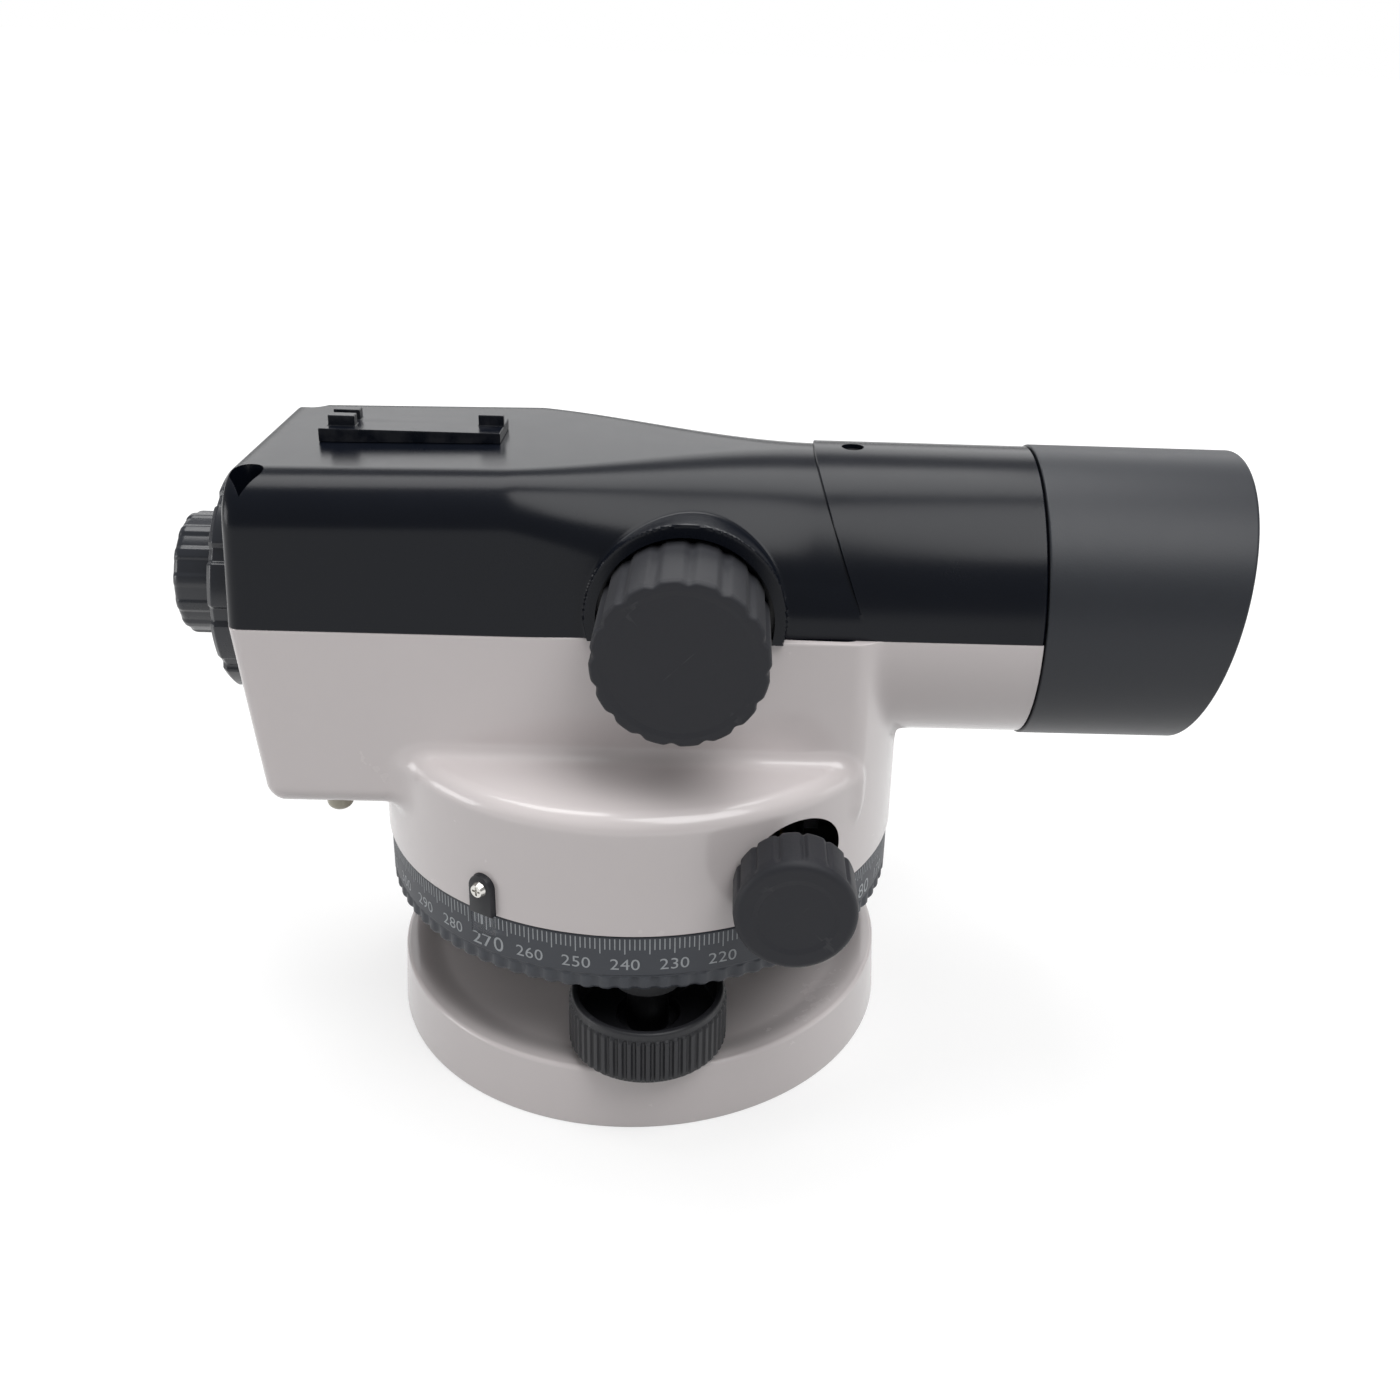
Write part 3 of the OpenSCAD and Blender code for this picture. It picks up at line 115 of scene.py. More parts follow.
def weld_points(mesh, outwards=False):
    """Merges points closer than two micrometres, which closes seams and poles; a closed mesh may have
    its faces turned outwards."""
    import bmesh
    work = bmesh.new()
    work.from_mesh(mesh)
    bmesh.ops.remove_doubles(work, verts=work.verts, dist=2e-6)
    bmesh.ops.dissolve_degenerate(work, edges=work.edges, dist=1e-7)
    if outwards:
        bmesh.ops.recalc_face_normals(work, faces=work.faces)
    work.to_mesh(mesh)
    work.free()


def quads(nu, nv, close_u=False, close_v=False):
    """Four-cornered faces of an nu by nv grid, joined round in u or v where it closes."""
    i = np.arange(nu if close_u else nu - 1)
    j = np.arange(nv if close_v else nv - 1)
    a, b = np.meshgrid(i, j, indexing="ij")
    a2, b2 = (a + 1) % nu, (b + 1) % nv
    return np.stack([a * nv + b, a2 * nv + b, a2 * nv + b2, a * nv + b2], -1).reshape(-1, 4)


def join(parts):
    """One list of points and faces out of several (points, faces) pairs."""
    points, faces, start = [], [], 0
    for v, f in parts:
        v = np.asarray(v, float).reshape(-1, 3)
        points.append(v)
        faces += (np.asarray(f) + start).tolist()
        start += len(v)
    return np.concatenate(points), faces


def outline(corners, steps=6):
    """A profile with rounded corners: each corner is (r, h, radius), and an arc replaces it between its two
    tangent points, with one support point 0.12 mm outside each so that flat stretches shade flat."""
    pts = []
    n = len(corners)
    for k, (r, h, rad) in enumerate(corners):
        p = np.array([r, h], float)
        if rad <= 0 or k in (0, n - 1):
            pts.append(p[None])
            continue
        a = np.array(corners[k - 1][:2], float) - p
        b = np.array(corners[k + 1][:2], float) - p
        la, lb = np.linalg.norm(a), np.linalg.norm(b)
        a, b = a / la, b / lb
        half = math.acos(np.clip(a @ b, -1, 1)) / 2
        cut = min(rad / math.tan(half), 0.49 * la, 0.49 * lb)
        rad = cut * math.tan(half)
        centre = p + unit(a + b) * rad / math.sin(half)
        s, e = p + a * cut - centre, p + b * cut - centre
        turn = math.atan2(s[0] * e[1] - s[1] * e[0], s @ e)
        t = np.linspace(0, turn, steps + 1)
        c, w = np.cos(t), np.sin(t)
        arc = centre + np.stack([s[0] * c - s[1] * w, s[0] * w + s[1] * c], -1)
        lead = min(0.12, 0.2 * cut + 0.02)
        first = p + a * min(cut + lead, 0.5 * la)
        last = p + b * min(cut + lead, 0.5 * lb)
        pts.append(np.concatenate([first[None], arc, last[None]]))
    return np.concatenate(pts)


FRAMES = {"z": np.eye(3), "x": np.array([[0, 1, 0], [0, 0, 1], [1, 0, 0]], float),
          "-x": np.array([[0, 0, 1], [0, 1, 0], [-1, 0, 0]], float),
          "y": np.array([[0, 0, 1], [1, 0, 0], [0, 1, 0]], float),
          "-y": np.array([[1, 0, 0], [0, 0, 1], [0, -1, 0]], float)}


def turned(profile, axis="z", origin=(0, 0, 0), n=96, hollow=None, a0=0.0, a1=360.0):
    """A surface of revolution: the point at angle a and profile place (r, h) is
    origin + r cos a e1 + r sin a e2 + h e3. hollow(a, r, h) may change the radius, as for flutes and ribs."""
    e = FRAMES[axis]
    full = a1 - a0 >= 359.9
    a = np.radians(np.linspace(a0, a1, n, endpoint=not full))[:, None]
    r = np.repeat(profile[None, :, 0], n, 0)
    h = np.repeat(profile[None, :, 1], n, 0)
    if hollow is not None:
        r = hollow(a + 0 * r, r, h)
    p = np.array(origin, float) + (r * np.cos(a))[..., None] * e[0]
    p = p + (r * np.sin(a))[..., None] * e[1] + h[..., None] * e[2]
    return p.reshape(-1, 3), quads(n, len(profile), close_u=full)


def solid(v, f):
    """A closed mesh from points in millimetres, its doubles merged and its faces turned outwards."""
    mesh = new_mesh("blank", v, f)
    weld_points(mesh, outwards=True)
    return mesh


def carve(mesh, cutters):
    """The closed mesh less every closed cutter, worked out by Blender's boolean modifier."""
    scene = bpy.context.scene
    blank = bpy.data.objects.new("blank", mesh)
    scene.collection.objects.link(blank)
    tools = []
    for v, f in cutters:
        tool = bpy.data.objects.new("cutter", solid(v, f))
        scene.collection.objects.link(tool)
        step = blank.modifiers.new("cut", "BOOLEAN")
        step.operation = "DIFFERENCE"
        step.solver = "EXACT"
        step.object = tool
        tools.append(tool)
    bpy.context.view_layer.update()
    made = bpy.data.meshes.new_from_object(blank.evaluated_get(bpy.context.evaluated_depsgraph_get()))
    for ob in tools + [blank]:
        old = ob.data
        bpy.data.objects.remove(ob)
        bpy.data.meshes.remove(old)
    return made


def place(name, mesh, body, material, stands_for=(), sharp=35.0):
    """A finished mesh as a piece of the level, smooth but for the edges that are sharper than the angle."""
    mesh.name = name
    mesh.shade_smooth()
    mesh.set_sharp_from_angle(angle=math.radians(sharp))
    mesh.materials.clear()
    mesh.materials.append(material)
    piece = bpy.data.objects.new(name, mesh)
    bpy.context.scene.collection.objects.link(piece)
    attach(piece, body)
    if stands_for:
        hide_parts(*stands_for)
    return piece


def rod(centre, axis, radius, low, high, n=96):
    """A closed round bar along an axis, from low to high on it."""
    p = np.array([[0, low], [radius, low], [radius, high], [0, high]], float)
    return turned(p, axis, centre, n=n)


def prism(flat, low, high):
    """A closed upright bar over a flat outline of (x, y) points, from z low to z high."""
    n = len(flat)
    c = flat.mean(0)
    ring = np.concatenate([np.tile(c, (n, 1)), flat, flat, np.tile(c, (n, 1))])
    z = np.repeat([low, low, high, high], n)
    return np.column_stack([ring, z]), quads(4, n, close_v=True)


def eased_copy(name, node, body, material, width=0.2, segments=3, sharp=30.0):
    """A merged copy of a node's own surface; when width is above zero, flat areas become single faces and a
    bevel rounds its edges.
    """
    import bmesh
    work = bmesh.new()
    work.from_mesh(nodes[node].data)
    bmesh.ops.remove_doubles(work, verts=work.verts, dist=2e-6)
    if width > 0:
        bmesh.ops.dissolve_limit(work, angle_limit=math.radians(1.0), verts=work.verts, edges=work.edges)
    mesh = bpy.data.meshes.new(name)
    work.to_mesh(mesh)
    work.free()
    piece = place(name, mesh, body, material, [node], sharp)
    if width <= 0:
        return piece
    edge = piece.modifiers.new("rounded_edges", "BEVEL")
    edge.width = width * MM
    edge.segments = segments
    edge.limit_method = "ANGLE"
    edge.angle_limit = math.radians(sharp)
    edge.harden_normals = True
    return piece


# Materials

def tree(material):
    """The node tree of a material, cleared but for its output, with a Principled shader wired in."""
    material.use_nodes = True
    t = material.node_tree
    t.nodes.clear()
    out = t.nodes.new("ShaderNodeOutputMaterial")
    shader = t.nodes.new("ShaderNodeBsdfPrincipled")
    t.links.new(shader.outputs["BSDF"], out.inputs["Surface"])
    return t, shader


def build_surface_group():
    """A shader node group shared by all finishes: mottles a colour, varies the roughness, gives fine
    grain and wears raised edges; on the ribbed foot knobs the lighter worn edges are also a painted
    highlight."""
    g = bpy.data.node_groups.new("surface_detail", "ShaderNodeTree")
    sock = lambda n, kind, io, default=None: _socket(g, n, kind, io, default)
    sock("Colour", "NodeSocketColor", "INPUT", (0.5, 0.5, 0.5, 1))
    sock("Worn And Highlight Colour", "NodeSocketColor", "INPUT", (0.5, 0.5, 0.5, 1))
    sock("Mottle", "NodeSocketFloat", "INPUT", 0.05)
    sock("Roughness", "NodeSocketFloat", "INPUT", 0.4)
    sock("Roughness Range", "NodeSocketFloat", "INPUT", 0.1)
    sock("Grain Scale", "NodeSocketFloat", "INPUT", 2500.0)
    sock("Grain Depth", "NodeSocketFloat", "INPUT", 0.1)
    sock("Wear And Highlight", "NodeSocketFloat", "INPUT", 0.0)
    sock("Colour", "NodeSocketColor", "OUTPUT")
    sock("Roughness", "NodeSocketFloat", "OUTPUT")
    sock("Normal", "NodeSocketVector", "OUTPUT")
    n, link = g.nodes, g.links.new
    gi, go = n.new("NodeGroupInput"), n.new("NodeGroupOutput")
    at = n.new("ShaderNodeTexCoord")

    def noise(scale, detail, rough=0.55):
        x = n.new("ShaderNodeTexNoise")
        x.inputs["Scale"].default_value = scale
        x.inputs["Detail"].default_value = detail
        x.inputs["Roughness"].default_value = rough
        link(at.outputs["Object"], x.inputs["Vector"])
        return x

    def math_node(op, a=None, b=None, clamp=False):
        x = n.new("ShaderNodeMath")
        x.operation = op
        x.use_clamp = clamp
        for k, v in enumerate((a, b)):
            if v is None:
                continue
            if isinstance(v, (int, float)):
                x.inputs[k].default_value = v
            else:
                link(v, x.inputs[k])
        return x.outputs[0]

    broad, cloud = noise(38.0, 3.0), noise(260.0, 4.0)
    both = math_node("ADD", math_node("MULTIPLY", broad.outputs["Fac"], 0.6),
                     math_node("MULTIPLY", cloud.outputs["Fac"], 0.4))
    swing = math_node("MULTIPLY", math_node("SUBTRACT", both, 0.5), 2.0)
    gain = math_node("ADD", math_node("MULTIPLY", swing, gi.outputs["Mottle"]), 1.0)
    tint = n.new("ShaderNodeVectorMath")
    tint.operation = "SCALE"
    link(gi.outputs["Colour"], tint.inputs[0])
    link(gain, tint.inputs["Scale"])
    geo = n.new("ShaderNodeNewGeometry")
    edge = math_node("MULTIPLY", math_node("SUBTRACT", geo.outputs["Pointiness"], 0.53), 14.0, clamp=True)
    wear_and_highlight_patches = math_node("MULTIPLY", math_node("SUBTRACT", cloud.outputs["Fac"], 0.42), 5.0, clamp=True)
    # Raised edges in patches take the worn colour: wear, and on the ribbed foot knobs also a painted
    # highlight.
    worn_and_highlight = math_node("MULTIPLY", math_node("MULTIPLY", edge, wear_and_highlight_patches), gi.outputs["Wear And Highlight"], clamp=True)
    mix = n.new("ShaderNodeMix")
    mix.data_type = "RGBA"
    link(worn_and_highlight, mix.inputs["Factor"])
    link(tint.outputs[0], mix.inputs["A"])
    link(gi.outputs["Worn And Highlight Colour"], mix.inputs["B"])
    link(mix.outputs["Result"], go.inputs["Colour"])
    rough = math_node("MULTIPLY", swing, gi.outputs["Roughness Range"])
    rough = math_node("ADD", gi.outputs["Roughness"], rough, clamp=True)
    link(rough, go.inputs["Roughness"])
    grain = n.new("ShaderNodeTexNoise")
    grain.inputs["Detail"].default_value = 2.0
    link(at.outputs["Object"], grain.inputs["Vector"])
    link(gi.outputs["Grain Scale"], grain.inputs["Scale"])
    bump = n.new("ShaderNodeBump")
    bump.inputs["Distance"].default_value = 0.0001
    link(gi.outputs["Grain Depth"], bump.inputs["Strength"])
    link(grain.outputs["Fac"], bump.inputs["Height"])
    link(bump.outputs["Normal"], go.inputs["Normal"])
    return g


def _socket(group, name, kind, io, default):
    s = group.interface.new_socket(name=name, in_out=io, socket_type=kind)
    if default is not None:
        s.default_value = default
    return s


SURFACE = build_surface_group()


def add_surface(t, s, colour, worn_and_highlight, mottle, rough, rough_range, grain, depth, wear_and_highlight):
    """Places the shared group in a material with this finish's values."""
    d = t.nodes.new("ShaderNodeGroup")
    d.node_tree = SURFACE
    values = {"Colour": (*colour, 1), "Worn And Highlight Colour": (*worn_and_highlight, 1), "Mottle": mottle, "Roughness": rough,
              "Roughness Range": rough_range, "Grain Scale": grain, "Grain Depth": depth, "Wear And Highlight": wear_and_highlight}
    for key, value in values.items():
        d.inputs[key].default_value = value
    t.links.new(d.outputs["Colour"], s.inputs["Base Color"])
    t.links.new(d.outputs["Roughness"], s.inputs["Roughness"])
    return d


def finish_material(name, colour, rough, rough_range=0.08, mottle=0.04, grain=2500.0, depth=0.1, wear_and_highlight=0.0,
                    worn_and_highlight=(0.5, 0.5, 0.5), metallic=0.0, coat=0.0, coat_rough=0.1, specular=0.5, sheen=0.0):
    """A material whose colour, roughness and grain come from the shared surface group."""
    m = bpy.data.materials.new(name)
    t, s = tree(m)
    d = add_surface(t, s, colour, worn_and_highlight, mottle, rough, rough_range, grain, depth, wear_and_highlight)
    t.links.new(d.outputs["Normal"], s.inputs["Normal"])
    s.inputs["Metallic"].default_value = metallic
    s.inputs["Coat Weight"].default_value = coat
    s.inputs["Coat Roughness"].default_value = coat_rough
    s.inputs["Specular IOR Level"].default_value = specular
    s.inputs["Sheen Weight"].default_value = sheen
    m.diffuse_color = (*colour, 1)
    return m


def glass_material(name, colour, ior, rough=0.02, coat=0.3):
    """Clear glass with faint smears in its roughness."""
    m = bpy.data.materials.new(name)
    t, s = tree(m)
    add_surface(t, s, colour, colour, 0.01, rough, rough * 0.6, 300.0, 0.0, 0.0)
    s.inputs["Transmission Weight"].default_value = 1.0
    s.inputs["IOR"].default_value = ior
    s.inputs["Coat Weight"].default_value = coat
    return m


PAINT = finish_material("white_gloss_paint", (0.70, 0.650, 0.648), 0.26, 0.05, 0.02, 900.0, 0.04,
                        coat=0.4, coat_rough=0.08)
COVER = finish_material("charcoal_satin_paint", (0.0036, 0.0050, 0.0090), 0.24, 0.04, 0.12, 2600.0, 0.06,
                        0.30, (0.05, 0.05, 0.055), specular=0.22)
SHADE = finish_material("sunshade_satin", (0.0215, 0.0240, 0.0300), 0.42, 0.06, 0.10, 2600.0, 0.12, 0.25,
                        (0.06, 0.06, 0.066), specular=0.36)
PLASTIC = finish_material("eyepiece_plastic", (0.0200, 0.0225, 0.0290), 0.27, 0.06, 0.12, 2200.0, 0.08, 0.25,
                          (0.07, 0.07, 0.08), specular=0.5)
RUBBER = finish_material("knob_rubber", (0.0150, 0.0158, 0.0205), 0.58, 0.10, 0.24, 3400.0, 0.30, 0.35,
                         (0.06, 0.06, 0.065), specular=0.35, sheen=0.04)
# The foot knobs' worn edges are set strong and light: partly wear, partly a painted highlight along the ribs.
RIBBED = finish_material("foot_knob_rubber", (0.0195, 0.0200, 0.0235), 0.44, 0.10, 0.22, 3400.0, 0.22, 0.5,
                         (0.09, 0.09, 0.095), specular=0.4)
CIRCLE = finish_material("circle_anodised", (0.056, 0.061, 0.072), 0.50, 0.07, 0.10, 3000.0, 0.15, 0.35,
                         (0.12, 0.12, 0.13), specular=0.4)
PRINT = finish_material("scale_print", (0.40, 0.42, 0.44), 0.55, 0.05, 0.10, 2500.0, 0.05)
# Dark steel for the foot screws, whose shafts show dark inside the knobs' cups.
SHAFT = finish_material("dark_steel", (0.10, 0.10, 0.105), 0.34, 0.10, 0.10, 1500.0, 0.08, metallic=1.0)
STEEL = finish_material("bare_steel", (0.55, 0.55, 0.54), 0.28, 0.10, 0.08, 1500.0, 0.08, metallic=1.0)
BRIGHT = finish_material("nickel_plate", (0.66, 0.65, 0.62), 0.20, 0.08, 0.06, 1800.0, 0.06, metallic=1.0)
SPRING = finish_material("spring_steel", (0.42, 0.42, 0.42), 0.36, 0.10, 0.10, 1600.0, 0.10, metallic=1.0)
DARK_SCREW = finish_material("blackened_steel", (0.035, 0.035, 0.038), 0.38, 0.10, 0.2, 1800.0, 0.1, 0.5,
                             (0.3, 0.3, 0.3), metallic=0.7)
BRASS = finish_material("turned_brass", (0.60, 0.42, 0.17), 0.30, 0.10, 0.12, 1200.0, 0.08, metallic=1.0)
# Dark grey on the levelling head: painted shade for the dark seen under the circle.
HEAD_PAINTED_SHADE = finish_material("head_painted_shade", (0.03, 0.031, 0.034), 0.5, 0.08, 0.15, 1800.0, 0.15, 0.3,
                       (0.2, 0.2, 0.2))
INNER = finish_material("machined_aluminium", (0.38, 0.38, 0.39), 0.38, 0.10, 0.08, 1400.0, 0.1, metallic=1.0)
BLACK_METAL = finish_material("black_anodised", (0.012, 0.012, 0.013), 0.58, 0.08, 0.15, 2400.0, 0.15)
PLATE = finish_material("index_black_plate", (0.0120, 0.0130, 0.0165), 0.40, 0.05, 0.12, 2400.0, 0.08, 0.25,
                        (0.06, 0.06, 0.066), specular=0.35)
# Near-black for the inside of the skirt and the worm's bores: painted shade for the dark inside the casting.
PAINTED_SHADE_BLACK = finish_material("bore_painted_shade", (0.006, 0.006, 0.007), 0.62, 0.05, 0.12, 2400.0, 0.08, specular=0.2)
IVORY = finish_material("ivory_button", (0.50, 0.47, 0.38), 0.34, 0.08, 0.06, 1800.0, 0.06, metallic=0.0)
OPTIC = glass_material("coated_glass", (0.86, 0.90, 0.97), 1.52)
WINDOW = glass_material("clear_acrylic", (0.99, 0.99, 0.99), 1.08, 0.0, 0.0)
VIAL = glass_material("level_spirit", (0.72, 0.88, 0.30), 1.36, 0.03)
MIRROR = finish_material("silvered_glass", (0.86, 0.88, 0.88), 0.04, 0.02, 0.01, 500.0, 0.0, metallic=1.0)

BY_SLOT = {"white_paint": PAINT, "black_paint": COVER, "circle_black": CIRCLE, "knob_rubber": RUBBER,
           "eyepiece_plastic": PLASTIC, "bare_steel": STEEL, "spring_steel": SPRING,
           "black_screw": DARK_SCREW, "bright_screw": BRIGHT, "brass": BRASS, "head_metal": HEAD_PAINTED_SHADE,
           "inner_metal": INNER, "black_metal": BLACK_METAL, "optic": OPTIC, "window": WINDOW,
           "vial": VIAL, "mirror": MIRROR}
for entry in frame["record"]["subparts"]:
    mesh = nodes[entry["node"]].data
    mesh.materials.clear()
    mesh.materials.append(BY_SLOT[entry["material_slot"]])


# Base and foot screws

def base_plate():
    """A turned dish: flat underside with its hollow, slightly tapered wall, rounded rim, and a soft slope
    3 t^2 - 2 t^3 down from the rim to the floor."""
    t = np.linspace(0, 1, 15)[1:-1]
    slope = np.column_stack([49.2 - 6.6 * t, 13.2 - 1.4 * ease(t)])
    rim = outline([(44.0, 7.6, 0), (44.6, 0, 0.4), (51.5, 0, 0.5), (50.8, 13.2, 1.7), (49.2, 13.2, 0)])
    hub = outline([(42.6, 11.8, 0), (7.2, 11.8, 0), (6.75, 11.3, 0.1), (6.75, 0, 0.3), (16.6, 0, 0.4),
                   (17.4, 7.6, 0.6), (44.0, 7.6, 0)])
    p = np.concatenate([rim, slope, hub])
    v, f = turned(p, n=240)
    return make_piece("base_dish", v, f, "base", PAINT, ["base_plate"], sharp=40)


def foot_knob(name, node, angle, body):
    """A ribbed cup: a turned profile whose outer wall carries 54 ribs, each a flattened cosine, below a
    smooth band."""
    at = (41.5 * math.cos(math.radians(angle)), 41.5 * math.sin(math.radians(angle)), 14.6)
    p = outline([(4.05, 0, 0), (14.3, 0, 0.5), (15.1, 0.8, 0.4), (15.1, 9.3, 0.35), (14.7, 9.8, 0.2),
                 (14.7, 11.3, 0.55), (13.35, 11.3, 0.4), (13.25, 5.6, 0.4), (6.2, 5.4, 0.3), (6.0, 3.0, 0.3),
                 (4.05, 3.0, 0)], 5)
    p = np.concatenate([p, p[:1]])

    def rib(a, r, h):
        wave = np.clip(2.0 * np.cos(54 * a) + 0.35, -1, 1)
        return r + np.where((r > 14.75) & (h < 9.55), 0.29 * wave - 0.21, 0)
    v, f = turned(p, origin=at, n=54 * 10, hollow=rib)
    return make_piece(name, v, f, body, RIBBED, [node], sharp=60)


base_plate()
foot_knob("front_ribbed_knob", "front_foot_knob", -85, "front_screw")
foot_knob("left_ribbed_knob", "left_foot_knob", 155, "left_screw")
foot_knob("right_ribbed_knob", "right_foot_knob", 35, "right_screw")


# Graduated circle

def circle_ring():
    """A turned ring whose lower band is gripped by 90 soft hollows, each half a cosine wave deep."""
    top = CIRCLE_Z + CIRCLE_H
    low, r = CIRCLE_Z, CIRCLE_R
    p = outline([(29.96, 41.0, 0), (49.6, 41.0, 0.3), (49.7, low, 0.3), (r - 0.6, low, 0.5),
                 (r, low + 0.8, 0.5), (r, low + 2.9, 0.3), (r - 0.25, low + 3.3, 0.25), (r, low + 3.7, 0.25),
                 (r, top, 0.35), (49.6, top, 0.3), (49.6, 43.0, 0.3), (29.96, 43.0, 0)], 4)
    p = np.concatenate([p, p[:1]])

    def flute(a, r, h):
        band = ease((r - 50.6) / 0.8) * ease((CIRCLE_Z + 3.25 - h) / 0.5)
        return r - 0.50 * band * ease(0.42 + 0.95 * np.cos(90 * a))
    v, f = turned(p, n=90 * 8, hollow=flute)
    make_piece("graduated_ring", v, f, "circle", CIRCLE, ["horizontal_circle"], sharp=50)


def scale_ticks():
    """360 narrow quads on the cylinder, one a degree, with every fifth longer."""
    deg = np.arange(360)
    a = np.radians(deg)
    half = 0.10 / CIRCLE_R
    low = np.where(deg % 5 == 0, 40.7, 41.6)
    a4 = np.stack([a - half, a + half, a + half, a - half], -1)
    z4 = np.stack([low, low, low * 0 + 43.95, low * 0 + 43.95], -1)
    r = CIRCLE_R + 0.03
    v = np.stack([r * np.cos(a4), r * np.sin(a4), z4], -1).reshape(-1, 3)
    f = np.arange(360 * 4).reshape(-1, 4)
    return v, f


def digit_shapes():
    """Outlines of the ten figures as flat meshes, filled from the built-in font."""
    shapes = {}
    for c in "0123456789":
        curve = bpy.data.curves.new("figure", "FONT")
        curve.body = c
        curve.resolution_u = 4
        ob = bpy.data.objects.new("figure", curve)
        bpy.context.scene.collection.objects.link(ob)
        bpy.context.view_layer.update()
        mesh = ob.evaluated_get(bpy.context.evaluated_depsgraph_get()).to_mesh()
        co = np.zeros(len(mesh.vertices) * 3)
        mesh.vertices.foreach_get("co", co)
        co = co.reshape(-1, 3)
        shapes[c] = (co[:, :2].copy(), [list(p.vertices) for p in mesh.polygons])
        ob.evaluated_get(bpy.context.evaluated_depsgraph_get()).to_mesh_clear()
        bpy.data.objects.remove(ob)
        bpy.data.curves.remove(curve)
    return shapes


def scale_figures():
    """Figures every ten degrees, bent round the cylinder: x on the flat figure becomes the arc, y the height.
    Those at the right angles are a third larger."""
    shapes = digit_shapes()
    high = max(s[0][:, 1].max() for s in shapes.values())
    points, faces, start = [], [], 0
    for reading in range(0, 360, 10):
        text = str(reading)
        size = 1.32 if reading % 90 == 0 else 1.0
        k = 2.3 * size / high
        a0 = math.radians(-90.0 - (reading - 240.0))
        for i, c in enumerate(text):
            co, polys = shapes[c]
            x = (co[:, 0] - (co[:, 0].min() + co[:, 0].max()) / 2) * k * 1.1
            a = a0 + (x + (i - (len(text) - 1) / 2) * 1.9 * size) / CIRCLE_R
            r = CIRCLE_R + 0.035
            low = 37.3 if size == 1.0 else 36.75
            points.append(np.stack([r * np.cos(a), r * np.sin(a), low + co[:, 1] * k], -1))
            faces += [[j + start for j in p] for p in polys]
            start += len(co)
    return np.concatenate(points), faces


circle_ring()
v, f = scale_ticks()
make_piece("degree_ticks", v, f, "circle", PRINT, (), weld=False)
v, f = scale_figures()
make_piece("degree_figures", v, f, "circle", PRINT, (), weld=False)


# Housing

def soft_min(a, b, k):
    """Union of two distance fields with a fillet: min(a, b) - h^2 k / 4, h = max(k - |a - b|, 0) / k."""
    k = np.maximum(k, 1e-4)
    h = np.maximum(k - np.abs(a - b), 0) / k
    return np.minimum(a, b) - h * h * k / 4


def rounded_max(ds, r):
    """Intersection of distance fields with edges rounded to r:
    length(max(d + r, 0)) + min(max(d) + r, 0) - r."""
    q = np.stack([d + r for d in ds], -1)
    return np.linalg.norm(np.maximum(q, 0), axis=-1) + np.minimum(q.max(-1), 0) - r


def housing_field(p):
    """Distance to the casting: a turret with a rounded shoulder, a box cut off by the turret's cylinder in
    front, and the tube, joined with small fillets."""
    x, y, z = p[..., 0], p[..., 1], p[..., 2]
    rho = np.hypot(x, y)
    rear = (REAR_X + 0.115 * (AXIS_Z - z) - x) / 1.0066
    nose = np.where(x > 0, rho - TURRET_R, -30.0)
    box = rounded_max([np.abs(y) - BOX_W, rear], 3.0)
    box = rounded_max([box, nose], 1.6)
    box = rounded_max([box, BOX_Z - z], 4.2)
    tube = np.maximum(np.hypot(y, z - AXIS_Z) - TUBE_R, 20.0 - x)
    turret = rounded_max([rho - TURRET_R, z - SHOULDER_Z], 3.6)
    d = soft_min(box, tube, 2.0)
    k = np.where(x > 0, 3.4 * ease((np.abs(y) - 28.0) / 2.6), 3.4)
    return soft_min(d, turret, k)


def first_hit(origin, direction):
    """Walks each ray outwards until it meets the surface, 0.9 of the distance that is left at a time."""
    t = np.zeros(origin.shape[:-1])
    for _ in range(70):
        t = t - 0.9 * housing_field(origin + direction * t[..., None])
    return np.minimum(t, 200.0)


def cast(a, zc, phi):
    """Points where rays at azimuth a and elevation phi from (0, 0, zc) meet the housing."""
    ca, sa = np.cos(a)[:, None], np.sin(a)[:, None]
    d = np.stack([np.cos(phi) * ca, np.cos(phi) * sa, np.sin(phi)], -1)
    o = np.zeros(d.shape)
    o[..., 2] = zc[:, None]
    t = first_hit(o, d)
    return o + d * t[..., None]


def smooth_round(w):
    """Average over neighbouring meridians, so that the grid's lines run smoothly."""
    return sum(np.roll(w, k, 0) for k in range(-3, 4)) / 7


